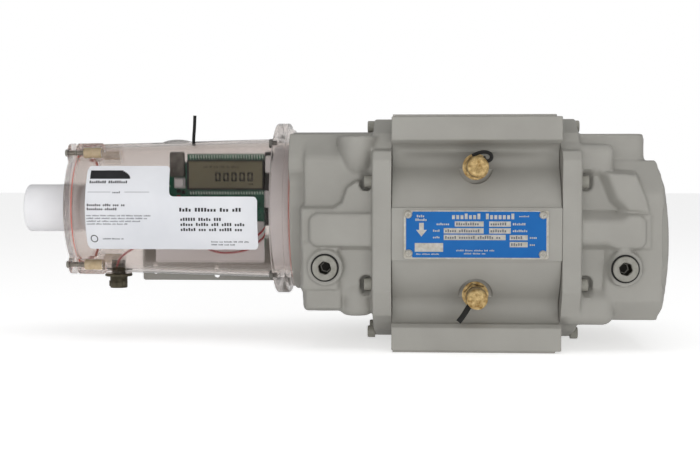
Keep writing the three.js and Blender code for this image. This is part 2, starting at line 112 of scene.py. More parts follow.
# White paper that glows of itself though it is no lamp: painted light that lights the object's underside a
# little, more through the clear plastic, and shows brighter still for the viewer.
paper = bpy.data.materials.new("studio_paper")
paper.use_nodes = True
tree = paper.node_tree
shader = tree.nodes["Principled BSDF"]
shader.inputs["Base Color"].default_value = colour("f6f6f6")
shader.inputs["Roughness"].default_value = 0.9
shader.inputs["Emission Color"].default_value = colour("ffffff")
path = add(tree, "ShaderNodeLightPath").outputs
direct = add(tree, "ShaderNodeMath", {"operation": "MULTIPLY_ADD", 1: 0.35, 2: 0.2},
             {0: path["Is Camera Ray"]})
glow = add(tree, "ShaderNodeMath", {"operation": "MULTIPLY_ADD", 1: 0.15},
           {0: path["Is Transmission Ray"], 2: direct.outputs[0]})
tree.links.new(glow.outputs[0], shader.inputs["Emission Strength"])
floor_mesh.materials.append(paper)
floor = bpy.data.objects.new("studio_floor", floor_mesh)
scene.collection.objects.link(floor)

room = bpy.data.worlds.new("studio_room")
room.use_nodes = True
# The viewer sees a white room. What lights the object is dimmer, and dimmest overhead.
tree = room.node_tree
direction = add(tree, "ShaderNodeTexCoord").outputs["Generated"]
height = add(tree, "ShaderNodeSeparateXYZ", links={"Vector": direction}).outputs["Z"]
shade = add(tree, "ShaderNodeMapRange",
            {"From Min": 0.0, "From Max": 0.7, "To Min": 0.64, "To Max": 0.30}, {"Value": height})
seen = add(tree, "ShaderNodeLightPath").outputs["Is Camera Ray"]
level = add(tree, "ShaderNodeMath", {"operation": "MAXIMUM"}, {0: seen, 1: shade.outputs["Result"]})
tree.nodes["Background"].inputs["Color"].default_value = (1, 1, 1, 1)
tree.links.new(level.outputs[0], tree.nodes["Background"].inputs["Strength"])
scene.world = room

LAMPS = {   # name: place, turn in degrees, width and height in metres, watts
    "front_box": ((-0.5, -1.6, 0.5), (77, 0, -17), (1.1, 0.8), 3),
    "top_box": ((0.1, -0.4, 1.6), (14, 0, 0), (1.4, 0.9), 5),
    "low_box": ((0.15, -1.3, 0.07), (97, 0, 7), (1.2, 0.14), 6.2),
}
for name, (place, turn, size, watts) in LAMPS.items():
    lamp = bpy.data.objects.new(name, bpy.data.lights.new(name, "AREA"))
    lamp.data.shape = "RECTANGLE"
    lamp.data.size, lamp.data.size_y = size
    lamp.data.energy = watts
    lamp.location = place
    lamp.visible_glossy = lamp.visible_transmission = False
    lamp.rotation_euler = np.radians(turn)
    scene.collection.objects.link(lamp)
print("lamps", list(LAMPS))


# %% [markdown]
# ## Finishes
#
# Each finish starts from the real material and how its surface was made. Two noise patterns on Object
# coordinates do most of the work: a broad one that shifts the colour as casting, dirt and tarnish do,
# and a fine one that lifts the surface. Object coordinates are in metres, so a pattern of n mm has the
# scale 1000 / n.

# %% A function for a finish
def finish(name, dark, light, rough=(0.4, 0.5), patch=30, grain=1.0, lift=0.02, stretch=(1, 1, 1),
           **constants):
    """Makes a material. Colour runs from dark to light with broad noise of patch mm; roughness runs
    between its two values with noise of grain mm, which also lifts the surface by lift mm. stretch
    draws the grain out along an axis, as brushing and turning do. Constants go on the shader."""
    look = bpy.data.materials.new(name)
    look.use_nodes = True
    tree = look.node_tree
    shader = tree.nodes["Principled BSDF"]
    for key, value in constants.items():
        shader.inputs[key.replace("_", " ")].default_value = value
    place = add(tree, "ShaderNodeTexCoord").outputs["Object"]
    broad = add(tree, "ShaderNodeTexNoise", {"Scale": 1000 / patch, "Detail": 4.0, "Roughness": 0.55},
                {"Vector": place})
    ramp = add(tree, "ShaderNodeValToRGB", links={"Fac": broad.outputs["Fac"]})
    ramp.color_ramp.elements[0].position, ramp.color_ramp.elements[1].position = 0.3, 0.7
    ramp.color_ramp.elements[0].color, ramp.color_ramp.elements[1].color = colour(dark), colour(light)
    tree.links.new(ramp.outputs["Color"], shader.inputs["Base Color"])
    drawn = add(tree, "ShaderNodeMapping", {"Scale": stretch}, {"Vector": place})
    fine = add(tree, "ShaderNodeTexNoise", {"Scale": 1000 / grain, "Detail": 3.0},
               {"Vector": drawn.outputs[0]})
    spread = add(tree, "ShaderNodeMapRange", {"To Min": rough[0], "To Max": rough[1]},
                 {"Value": fine.outputs["Fac"]})
    tree.links.new(spread.outputs["Result"], shader.inputs["Roughness"])
    bump = add(tree, "ShaderNodeBump", {"Strength": 1.0, "Distance": lift * MM},
               {"Height": fine.outputs["Fac"]})
    tree.links.new(bump.outputs["Normal"], shader.inputs["Normal"])
    return look


# %% The meter's finishes
# Sprayed enamel on an aluminium casting: the paint levels out to a faint orange peel over the sand's
# grain, so it shines softly and its colour drifts a little.
enamel = finish("grey_enamel_on_casting", "94928c", "9d9b95", (0.42, 0.56), 45, 1.6, 0.035,
                Specular_IOR_Level=0.45)
# Machined aluminium: tool lines run one way and stay bright.
machined = finish("machined_aluminium", "a9abad", "bfc1c3", (0.28, 0.42), 20, 0.8, 0.01, (1, 12, 12),
                  Metallic=1.0)
# Turned aluminium oil plugs: paint has mostly missed them, and they are satin.
plug_metal = finish("turned_plug_metal", "8a8880", "a09e96", (0.35, 0.5), 5, 0.6, 0.03, Metallic=0.35)
# Ground steel of shafts, gears and screws.
steel = finish("ground_steel", "8d8f91", "a6a8aa", (0.2, 0.35), 14, 0.6, 0.008, (10, 1, 1), Metallic=1.0)
# Blackened steel of the small socket screws on the index.
dark_steel = finish("blackened_steel", "66645f", "84827d", (0.35, 0.5), 4, 0.6, 0.02, Metallic=0.6)
# A dull dark brown sheet lining each plug's socket: painted shade, put where the deep socket only lies in
# shade.
socket_shade = finish("painted_socket_shade", "17150f", "26231a", (0.45, 0.6), 3, 0.6, 0.02)
# The cover screws went through the spray booth with the castings.
screw_paint = finish("enamelled_screw", "8b8981", "9a988f", (0.4, 0.55), 12, 1.0, 0.03)
# Ferrite in a moulded carrier: dull black.
magnet = finish("ferrite_carrier", "1b1b1c", "262627", (0.55, 0.7), 8, 0.8, 0.02)
# Brass, turned and handled: warm, with darker tarnish in patches a few millimetres wide.
brass = finish("handled_brass", "a37d48", "f2d69c", (0.25, 0.45), 2.6, 0.8, 0.06, Metallic=1.0)
# Moulded-in inserts: paler brass, dulled by the plastic that flowed round it.
insert_brass = finish("moulded_in_brass", "e0cfa6", "f0e3c4", (0.45, 0.6), 4, 0.9, 0.02, Metallic=0.1)
# Nitrile rubber: matt black.
rubber = finish("black_nitrile_rubber", "141414", "1e1e1d", (0.6, 0.75), 8, 0.7, 0.03)
# Silicone gasket: red, soft and matt.
red_rubber = finish("red_silicone_gasket", "d8695a", "e68778", (0.5, 0.65), 8, 0.8, 0.02)
# Blue ink printed on thin aluminium.
blue_ink = finish("blue_plate_ink", "0a5aa0", "1062a8", (0.4, 0.5), 25, 1.2, 0.006, Specular_IOR_Level=0.3)
# The bare aluminium of the plate's border and its data fields.
bare_plate = finish("bare_plate_aluminium", "b9b3a6", "d2cfc8", (0.3, 0.5), 2.5, 0.6, 0.01, Metallic=0.7)
# Coated label paper.
label_paper = finish("coated_label_paper", "d9dbe0", "e7e8ec", (0.32, 0.42), 60, 2.0, 0.004)
# Black and grey label inks.
black_ink = finish("black_label_ink", "1d1d1f", "29292b", (0.4, 0.5), 10, 0.6, 0.002)
grey_ink = finish("grey_label_ink", "5d5f64", "6c6e73", (0.4, 0.5), 10, 0.6, 0.002)
# White PVC tube.
white_tube = finish("white_moulded_tube", "e9e9ec", "f4f4f6", (0.35, 0.45), 40, 2.0, 0.01)
battery_wrap = finish("battery_shrink_wrap", "35629a", "4275ad", (0.3, 0.4), 12, 1.0, 0.01)
black_plastic = finish("black_moulded_plastic", "1a1817", "262422", (0.4, 0.55), 12, 0.8, 0.02)
# Solder mask over copper: dark green with a gloss coat.
solder_mask = finish("green_solder_mask", "135541", "20785c", (0.25, 0.35), 6, 1.5, 0.02, Coat_Weight=0.4)
# Liquid crystal glass: olive grey, flat and slightly glossy.
lcd_glass = finish("liquid_crystal_glass", "6d6a52", "79765e", (0.15, 0.22), 30, 3.0, 0.002)
lcd_ink = finish("liquid_crystal_segment", "0d0c08", "14130d", (0.2, 0.3), 5, 1.0, 0.002)
solder = finish("bright_solder", "b4e0cd", "e6f7ee", (0.25, 0.4), 1.5, 0.6, 0.02, Metallic=0.1)
olive_shell = finish("olive_connector_shell", "4f4a3c", "6a6453", (0.35, 0.5), 4, 0.8, 0.03, Metallic=0.7)
red_wire = finish("red_wire_insulation", "a3262a", "b8393a", (0.35, 0.45), 8, 0.8, 0.01)


# %% Clear polycarbonate
# Moulded clear polycarbonate: light goes through it, it shines at its edges, and this thick moulding has
# a faint warm tint. Its thick ends, the ring and the screw lugs, have cooled slowly and are cloudy.
clear = finish("clear_moulded_polycarbonate", "ece2dc", "f3ebe7", (0.02, 0.05), 50, 6.0, 0.004,
               Transmission_Weight=1.0, IOR=1.06, Coat_Weight=0.5, Coat_Roughness=0.05)
tree = clear.node_tree
place = add(tree, "ShaderNodeTexCoord").outputs["Object"]
along = add(tree, "ShaderNodeSeparateXYZ", links={"Vector": place}).outputs["X"]
ring_end = add(tree, "ShaderNodeMapRange",
               {"From Min": -0.158, "From Max": -0.154, "To Min": 0.03, "To Max": 0.2}, {"Value": along})
lug_end = add(tree, "ShaderNodeMapRange",
              {"From Min": -0.290, "From Max": -0.285, "To Min": 0.15, "To Max": 0.0}, {"Value": along})
cloudy = add(tree, "ShaderNodeMath", {"operation": "ADD"},
             {0: ring_end.outputs["Result"], 1: lug_end.outputs["Result"]})
tree.links.new(cloudy.outputs[0], tree.nodes["Principled BSDF"].inputs["Roughness"])
# Seen flat on it hardly shows; seen along the wall, light runs through more of it.
slant = add(tree, "ShaderNodeLayerWeight", {"Blend": 0.5}).outputs["Facing"]
thick = add(tree, "ShaderNodeMapRange", {"From Min": 0.1, "From Max": 0.7, "To Min": 0.6, "To Max": 0.9},
            {"Value": slant})
tree.links.new(thick.outputs["Result"], tree.nodes["Principled BSDF"].inputs["Alpha"])
print("finishes", len(bpy.data.materials))

# %% Finishes of the CAD nodes that stay as they are
BY_SLOT = {
    "casting_enamel": enamel, "machined_aluminium": machined, "plug_metal": plug_metal, "steel": steel,
    "screw_painted": screw_paint, "magnet": magnet, "brass": brass, "seal_rubber": rubber,
    "plate_print": blue_ink, "clear_polycarbonate": clear, "gasket_red": red_rubber,
    "label_paper": label_paper, "white_plastic": white_tube, "battery_wrap": battery_wrap,
    "black_plastic": black_plastic, "board_green": solder_mask, "display": lcd_glass,
    "connector_shell": olive_shell,
}
for part in frame["record"]["subparts"]:
    for holder in frame["nodes"][part["node"]].material_slots:
        holder.material = BY_SLOT[part["material_slot"]]


# %% [markdown]
# ## Helpers for surfaces
#
# Nearly every piece is a grid of points: one parameter runs along a profile, the other round or along
# the piece. The helpers turn such a grid into a closed mesh, so each piece only has to state its shape.

# %% From a grid to a finished piece
def piece(name, look, points, wrap=True, caps=False, body="meter", replaces=(), sharp=32):
    """Makes a piece of a grid of points (rows, columns, xyz) in mm. wrap joins the last column to the
    first, caps closes the first and last row with one face each. Equal points are merged, so a row
    that shrinks to a point becomes a pole. Edges sharper than sharp degrees stay crisp."""
    rows, columns = points.shape[:2]
    spots = np.arange(rows * columns).reshape(rows, columns)
    right = np.roll(spots, -1, axis=1) if wrap else spots[:, 1:]
    left = spots if wrap else spots[:, :-1]
    quads = np.stack([left[:-1], right[:-1], right[1:], left[1:]], axis=-1).reshape(-1, 4)
    return finish_piece(name, look, points.reshape(-1, 3), quads.tolist(),
                        [spots[0].tolist(), spots[-1].tolist()] if caps else [], body, replaces, sharp)


def finish_piece(name, look, points, faces, caps=(), body="meter", replaces=(), sharp=32):
    """Puts points and faces into a mesh at its place in the frame and gives it its look and body."""
    mesh = bpy.data.meshes.new(name)
    mesh.from_pydata((np.asarray(points, float) + MIDDLE) * MM, [], list(faces) + list(caps))
    work = bmesh.new()
    work.from_mesh(mesh)
    bmesh.ops.remove_doubles(work, verts=work.verts, dist=2e-6)
    bmesh.ops.dissolve_degenerate(work, dist=1e-7, edges=work.edges)
    bmesh.ops.recalc_face_normals(work, faces=work.faces)
    work.to_mesh(mesh)
    work.free()
    mesh.polygons.foreach_set("use_smooth", np.ones(len(mesh.polygons), bool))
    mesh.set_sharp_from_angle(angle=np.radians(sharp))
    mesh.materials.append(look)
    made = bpy.data.objects.new(name, mesh)
    scene.collection.objects.link(made)
    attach(made, body)
    if replaces:
        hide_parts(*replaces)
    return made


# %% Turned shapes
ACROSS = {"X": (1, 2, 0), "Y": (0, 2, 1), "Z": (0, 1, 2)}


def turned(profile, axis, centre, steps=64, wobble=None):
    """Grid of a profile of [radius, place along the axis] turned about an axis: across it the point is
    the centre plus radius times cosine and sine. wobble(radius, angle, row) may change the radius."""
    angle = np.linspace(0, 2 * np.pi, steps, endpoint=False)
    radius, along = np.array(profile, float).T
    r = np.repeat(radius[:, None], steps, axis=1)
    if wobble is not None:
        r = wobble(r, angle[None, :], np.arange(len(radius))[:, None])
    grid = np.empty((len(radius), steps, 3))
    first, second, third = ACROSS[axis]
    grid[..., first] = centre[0] + r * np.cos(angle)
    grid[..., second] = centre[1] + r * np.sin(angle)
    grid[..., third] = along[:, None]
    return grid


def hexagon(angle, turn=0.0):
    """Radius of a hexagon whose flats are one away from its middle, at each angle."""
    sector = np.mod(angle - turn + np.pi / 6, np.pi / 3) - np.pi / 6
    return 1 / np.cos(sector)


def rounded(points, radius, steps=6, closed=False):
    """A polyline whose corners are replaced by arcs: each arc starts and ends where a circle of the
    corner's radius touches the two sides. A corner of radius zero stays."""
    points = np.array(points, float)
    radius = np.broadcast_to(radius, len(points))
    out = []
    for i, (corner, r) in enumerate(zip(points, radius)):
        before, after = points[i - 1] - corner, points[(i + 1) % len(points)] - corner
        if r == 0 or (not closed and i in (0, len(points) - 1)):
            out.append(corner[None])
            continue
        before, after = before / np.linalg.norm(before), after / np.linalg.norm(after)
        half_angle = np.arccos(np.clip(before @ after, -1, 1)) / 2
        reach = r / np.tan(half_angle)
        middle = corner + (before + after) / np.linalg.norm(before + after) * r / np.sin(half_angle)
        start, end = corner + before * reach - middle, corner + after * reach - middle
        turn = np.arctan2(start[0] * end[1] - start[1] * end[0], start @ end)
        a = np.linspace(0, turn, steps + 1)[:, None]
        side = np.array([-start[1], start[0]])
        out.append(middle + start * np.cos(a) + side * np.sin(a))
    return np.concatenate(out)


def prism(outline, axis, start, end, edge=0.4):
    """Grid of an outline pushed along an axis. The first and last rows are drawn in by edge mm, which
    leaves a small chamfer round both faces. The outline's two coordinates are those across the axis."""
    outline = np.array(outline, float)
    ahead, behind = np.roll(outline, -1, axis=0), np.roll(outline, 1, axis=0)
    along = ahead - behind
    normal = np.stack([along[:, 1], -along[:, 0]], axis=1)
    normal /= np.linalg.norm(normal, axis=1, keepdims=True)
    area = np.sum(outline[:, 0] * ahead[:, 1] - ahead[:, 0] * outline[:, 1])
    drawn_in = outline - normal * edge * np.sign(area)
    places = [start, start + edge * np.sign(end - start), end - edge * np.sign(end - start), end]
    first, second, third = ACROSS[axis]
    grid = np.empty((4, len(outline), 3))
    for row, (shape, place) in enumerate(zip([drawn_in, outline, outline, drawn_in], places)):
        grid[row, :, first], grid[row, :, second], grid[row, :, third] = shape[:, 0], shape[:, 1], place
    return grid


print("helpers ready")

# %% [markdown]
# ## Castings as distance fields
#
# The two end covers are sand castings: bosses, pads and pockets run into each other with soft fillets.
# Fillets between that many forms are slow to draw edge by edge, but easy with distances: for each form a
# formula says how far a point is from it, negative inside. The smaller of two distances joins two
# forms, and a smooth minimum also fills the crease between them, as the foundry does.

# %% Distances to simple forms
def joined(a, b, fillet):
    """Smooth minimum: the smaller distance, less a quarter of the fillet times the square of how close
    the two distances are, so the crease between two forms is filled."""
    near = np.maximum(fillet - np.abs(a - b), 0) / fillet
    return np.minimum(a, b) - near * near * fillet / 4


def common(a, b, edge):
    """Smooth maximum: what lies in both forms, with the edge between them rounded."""
    return -joined(-a, -b, edge)


def block(p, lowest, highest, r):
    """Distance to a box: how far the point lies outside its half size on each axis, edges rounded."""
    lowest, highest = np.array(lowest, np.float32), np.array(highest, np.float32)
    q = np.abs(p - (lowest + highest) / 2) - (highest - lowest) / 2 + r
    outside = np.sqrt(np.sum(np.maximum(q, 0) ** 2, axis=-1))
    return outside + np.minimum(q.max(axis=-1), 0) - r


def post(p, axis, centre, radius, start, end, r):
    """Distance to a round post along an axis, edges rounded."""
    first, second, third = ACROSS[axis]
    side = np.hypot(p[..., first] - centre[0], p[..., second] - centre[1]) - radius + r
    tip = np.abs(p[..., third] - (start + end) / 2) - abs(end - start) / 2 + r
    return np.hypot(np.maximum(side, 0), np.maximum(tip, 0)) + np.minimum(np.maximum(side, tip), 0) - r


def bulge(p, centre, radii):
    """Distance to an ellipsoid, near enough close to its surface."""
    q = (p - np.array(centre, np.float32)) / np.array(radii, np.float32)
    k0 = np.sqrt(np.sum(q ** 2, axis=-1))
    k1 = np.sqrt(np.sum((q / np.array(radii, np.float32)) ** 2, axis=-1))
    return k0 * (k0 - 1) / np.maximum(k1, 1e-6)


def convex(u, v, corners, edge):
    """Distance to a convex outline, its corners given anticlockwise: the largest of the distances to
    its sides, each the dot product with the side's outward normal."""
    far = None
    for (u0, v0), (u1, v1) in zip(corners, corners[1:] + corners[:1]):
        length = np.hypot(u1 - u0, v1 - v0)
        side = ((u - u0) * (v1 - v0) - (v - v0) * (u1 - u0)) / length
        far = side if far is None else common(far, side, edge)
    return far


def outline_distance(u, v, corners):
    """Distance to any closed outline: to its nearest side, negative where a line to the right crosses
    the outline an odd number of times."""
    nearest, inside = np.full(u.shape, 1e9, np.float32), np.zeros(u.shape, bool)
    for (u0, v0), (u1, v1) in zip(corners, corners[1:] + corners[:1]):
        du, dv = u1 - u0, v1 - v0
        t = np.clip(((u - u0) * du + (v - v0) * dv) / (du * du + dv * dv), 0, 1)
        nearest = np.minimum(nearest, (u - u0 - t * du) ** 2 + (v - v0 - t * dv) ** 2)
        if dv:
            inside ^= ((v0 > v) != (v1 > v)) & (u < u0 + du * (v - v0) / dv)
    return np.where(inside, -1, 1) * np.sqrt(nearest)


def raised_pad(p, corners, level, corner_r=2.0, edge=1.7):
    """A flat pad on the casting's side: an outline in (X, Z), as high as level on both sides. Its
    walls lean in by a quarter, the draft that lets the pattern leave the sand."""
    draft = 0.25 * np.maximum(np.abs(p[..., 1]) - level + 4, -8)
    shape = outline_distance(p[..., 0], p[..., 2], corners) - corner_r + draft
    return common(shape, np.abs(p[..., 1]) - level, edge)


RIM = [(0, -82), (22, -82), (62, -73), (86, -60), (96.5, -42), (96.5, 53), (92, 59.5), (80, 61.5), (72, 73),
       (50, 84), (0, 84)]             # outline of the rim, one side


def rim(p, sign):
    """The flat rim that is screwed to the body, 14 mm thick: its front edge stands out in the middle."""
    loop = [*RIM, *((-y, z) for y, z in RIM[-2:0:-1])]
    shape = outline_distance(p[..., 1], p[..., 2], loop)
    return common(shape, sign * p[..., 0] - 75, 2.6)


def mirrored(p):
    """The same point with its Y made positive, for forms that are alike at the front and the back."""
    return np.stack([p[..., 0], np.abs(p[..., 1]), p[..., 2]], axis=-1)


SCREWS = [(20, 79.5), (79, 37.5)]     # one quadrant of the cover screws, Y and Z
SCREW_POCKET = 4.0                    # corner radius of the room round a screw head


def with_rim(d, p, sign):
    """A case with room cut for the heads of its side screws, then joined to its rim."""
    lowest, highest = sorted((sign * 75, sign * 84))
    for height in (-SCREWS[1][1], SCREWS[1][1]):
        room = block(mirrored(p), (lowest, 73, height - 6.5), (highest, 130, height + 6.5), SCREW_POCKET)
        d = common(d, -room, 2.0)
    return joined(d, rim(p, sign), 3.0)


# %% The drive cover's field
def drive_casting(p):
    """Gear case with a round neck for the index, slab and pads on its sides, bosses at its corners."""
    x, y, z = p[..., 0], p[..., 1], p[..., 2]
    q = mirrored(p)
    case = convex(y, z, [(-76, 55), (-76, -49), (-66, -56), (70, -56), (80, -48), (80, 50), (50, 72.5),
                         (-56, 72.5)], 3.0)
    d = common(case, -126 - x, 4.0)
    neck = common(np.hypot(y, z - INDEX_Z) - 63.5, z - 73.2, 2.0)
    shelf = convex(np.abs(y), z, [(-200, 38), (60, 38), (68, 45), (68, 56), (58, 73.2), (-200, 73.2)], 2.0)
    d = joined(d, common(joined(neck, shelf, 8.0), -138 - x, 1.0), 3.0)
    d = joined(d, raised_pad(p, [(-122.5, -54), (-99, -54), (-99, -38), (-122.5, -38)], 84), 2.5)
    d = joined(d, raised_pad(p, [(-124.5, -40), (-101, -40), (-101, -8), (-124.5, -8)], 87), 1.8)
    d = joined(d, raised_pad(p, [(-101, -45), (-60, -45), (-60, -8), (-101, -8)], 82), 1.8)
    d = joined(d, raised_pad(p, [(-125.5, -10), (-125.5, 16.5), (-103, 16.5), (-96, 21), (-92, 32), (-86, 36),
                                 (-60, 37), (-60, -10)], 85.5), 1.8)
    d = joined(d, raised_pad(p, [(-114, -3), (-114, 8), (-60, 8), (-60, -3)], 91, 7.0), 1.6)
    d = joined(d, common(bulge(q, (-86, 66, 76), (16, 25, 36)), z - 70.5, 1.5), 1.8)
    d = joined(d, post(q, "Z", (-87, 71), 12.5, -61, -38, 6.0), 2.0)
    d = joined(d, post(p, "Y", (-109, -24.7), 13, -91, -60, 1.2), 3.0)
    d = joined(d, block(p, (-111, -24, 60), (-96, 24, 74), 2.0), 1.5)
    return with_rim(d, p, -1)


# %% The thrust cover's field
def thrust_casting(p):
    """Domed oil case with a box above, slab and S-shaped pad on its sides, bosses at its corners."""
    x, y, z = p[..., 0], p[..., 1], p[..., 2]
    q = mirrored(p)
    case = convex(q[..., 1], z, [(-200, -64), (69, -64), (84, -48.5), (84, 29), (66, 53), (-200, 53)], 1.2)
    crown = (5.4 - 5.6 * ((z + 8) / 50) ** 2) * (1 - np.exp(np.minimum(q[..., 1] - 81.5, 0) / 1.6))
    d = common(case, x - 134.2 - crown, 0.8)
    top = common(common(q[..., 1] - 64.5, x - 124.4, 12.0), 20 - z, 2.0)
    d = joined(d, common(top, z - 72.5, 2.0), 2.0)
    d = joined(d, block(q, (60, -60, 42), (99, 83, 64.5), 6.0), 2.5)
    d = joined(d, raised_pad(p, [(86, 43), (113, 41), (120, 25), (122, 17), (108, 18), (100, 22),
                                 (95, 36), (86, 38)], 88), 1.8)
    d = joined(d, raised_pad(p, [(60, -9.5), (60, 13), (124, 13), (124, -9.5)], 87), 1.8)
    d = joined(d, raised_pad(p, [(60, -4), (60, 7), (114.5, 7), (114.5, -4)], 91, 7.0), 1.6)
    d = joined(d, block(q, (60, -50, -66.5), (100.5, 86, -41), 9.0), 2.0)
    d = joined(d, post(p, "Y", (106, -24.7), 13, -91, -60, 1.2), 3.0)
    floor_level = np.where(y < 0, 78, 80.5)
    above = q[..., 1] - floor_level
    hollow = outline_distance(x, z, [(75, 17), (102, 17), (96, 23), (91, 35), (88, 42), (75, 42)])
    d = common(d, -np.maximum(hollow - 0.6 * above, -above), 2.5)
    hollow = outline_distance(x, z, [(75, -13), (92, -13), (90, -40), (75, -40)])
    d = common(d, -np.maximum(hollow - 0.5 * above, 2 - above), 4.0)
    return with_rim(d, p, 1)


# %% [markdown]
# A net is then drawn over each field. Ray (s, t) starts outside the casting, turned by the angle t about
# the shaft line, and runs inwards; where it first meets the casting is the grid's point (s, t). The rays
# lean over near the ends and steep walls so that those get their share of points. A few rounds of
# smoothing, each followed by a step back along the field's slope, spread the points evenly.

# %% Rays to a net
def net(field, stations, columns):
    """Grid of first meetings with the field. A station is (rows to here, x outside, radius outside,
    x inside, radius inside, height of the axis), and rays between stations lie evenly between them."""
    table = np.array([s[1:] for s in stations], np.float32)
    at = np.cumsum([s[0] for s in stations])
    steps = np.arange(at[0], at[-1] + 1)
    x0, r0, x1, r1, axis_z = (np.interp(steps, at, part).astype(np.float32)[:, None] for part in table.T)
    angle = np.linspace(0, 2 * np.pi, columns, endpoint=False, dtype=np.float32)
    cos, sin = np.cos(angle)[None], np.sin(angle)[None]
    start = np.stack(np.broadcast_arrays(x0, r0 * cos, axis_z + r0 * sin), axis=-1)
    run = np.stack(np.broadcast_arrays(x1, r1 * cos, axis_z + r1 * sin), axis=-1) - start
    length = np.linalg.norm(run, axis=-1)
    gone = np.zeros_like(length)
    for _ in range(42):
        gone = np.clip(gone + 0.85 * field(start + run * gone[..., None]) / length, 0, 1)
    points = start + run * gone[..., None]
    for _ in range(4):
        middle = (np.roll(points, 1, axis=1) + np.roll(points, -1, axis=1))[1:-1]
        middle = (middle + points[:-2] + points[2:]) / 4
        points[1:-1] = 0.4 * points[1:-1] + 0.6 * middle
        points[1:-1] = on_surface(field, points[1:-1])
    return points


def on_surface(field, points, step=0.15):
    """Moves points along the field's slope by their distance. The slope is the difference of the field
    a small step to both sides on each axis."""
    slope = np.stack([field(points + step * axis) - field(points - step * axis)
                      for axis in np.eye(3, dtype=np.float32)], axis=-1)
    slope /= np.maximum(np.linalg.norm(slope, axis=-1, keepdims=True), 1e-6)
    return points - slope * np.clip(field(points), -1.5, 1.5)[..., None]


FINE = 1.0
COLUMNS = int(560 * FINE)


def rows(count):
    return max(1, int(count * FINE))


def rim_stations(sign):
    """Stations over a rim's outside, from the body's end to the case behind the rim."""
    return [(0, sign * 61.1, 130, sign * 61.1, 20, 4), (rows(14), sign * 73.0, 130, sign * 73.0, 20, 4),
            (rows(5), sign * 74.9, 130, sign * 74.9, 20, 4), (rows(16), sign * 92, 130, sign * 62, 20, 4)]


def mouth_stations(sign):
    """Stations of a hollow, through the rim's opening to the step behind it."""
    return [(0, sign * 61.1, 130, sign * 61.1, 20, 4), (2, sign * 73.8, 130, sign * 73.8, 20, 4),
            (6, sign * 76, 130, sign * 74.2, 20, 4)]


# %% Drive end cover
drive_skin = net(drive_casting, [
    *rim_stations(-1), (rows(24), -98, 130, -98, 20, 4), (rows(26), -123, 130, -123, 20, 6),
    (rows(5), -130, 130, -120, 20, 8), (rows(12), -175, 130, -95, 20, 14),
    (rows(14), -188, 130, -105.3, 20, 16), (rows(8), -188, 100, -105.3, 17, 16)], COLUMNS)
print("drive skin", drive_skin.shape, drive_skin.min(axis=(0, 1)), drive_skin.max(axis=(0, 1)))


def cavity(field, sign):
    """The hollow of a cover: a wall of 2.6 mm inside the skin beyond the rim, and a two-lobed opening
    for the headplate through the rim."""
    def distance(p):
        x = sign * p[..., 0]
        lobes = np.hypot(np.maximum(np.abs(p[..., 1]) - PITCH, 0), p[..., 2]) - 54.3
        behind = np.maximum(np.maximum(field(p) + 2.6, 74 - x), x - (119 if sign < 0 else 131))
        return np.minimum(behind, np.maximum(lobes, x - 75))
    return distance


def circle(x, radius, height, columns):
    """One row of a net: a circle about the index axis or the shaft line."""
    angle = np.linspace(0, 2 * np.pi, columns, endpoint=False)
    ring = [np.full(columns, x), radius * np.cos(angle), height + radius * np.sin(angle)]
    return np.stack(ring, axis=-1)[None]


drive_hollow = net(cavity(drive_casting, -1), [
    *mouth_stations(-1), (rows(14), -117, 130, -117, 20, 4), (3, -123, 110, -108, 12, 4),
    (5, -128, 0.01, -108, 0.0, 4)], COLUMNS)
drive_skin[-1] = circle(-138, 50, INDEX_Z, COLUMNS)[0]
recess = [circle(-124.3, 50, INDEX_Z, COLUMNS), circle(-124.3, 0, INDEX_Z, COLUMNS)]
drive_end_cover = piece("drive_cover_casting", enamel,
                        np.concatenate([drive_hollow[::-1], drive_skin, *recess]),
                        replaces=["drive_end_cover"], sharp=40)

# %% Thrust end cover
thrust_skin = net(thrust_casting, [
    *rim_stations(1), (rows(24), 98, 130, 98, 20, 3), (rows(26), 122, 130, 122, 20, 2),
    (rows(8), 145, 130, 116, 20, 0), (rows(14), 190, 110, 105, 5, -5),
    (rows(20), 200, 0.01, 90, 0.0, -5)], COLUMNS)
thrust_hollow = net(cavity(thrust_casting, 1), [
    *mouth_stations(1), (rows(14), 127, 130, 127, 20, 0), (3, 136, 110, 110, 12, -3),
    (5, 140, 0.01, 110, 0.0, -5)], COLUMNS)
thrust_end_cover = piece("thrust_cover_casting", enamel,
                         np.concatenate([thrust_hollow[::-1], thrust_skin]),
                         replaces=["thrust_end_cover"], sharp=40)

# %% [markdown]
# ## Meter body
#
# The body is one casting with two flange blocks, machined at its ends and on the nameplate pad. Its
# section is the same all along the shafts, so one outline is carried along X. The outline bulges round
# the impellers, then flares out again to each flange with a hollow curve.

# %% Outline of the body
FLARE = 11.6          # radius of the hollow curve under a flange
BULGE = 62.5          # outside radius of the measuring chamber
REACH = FLANGE - 1.6  # height of the step round a flange face


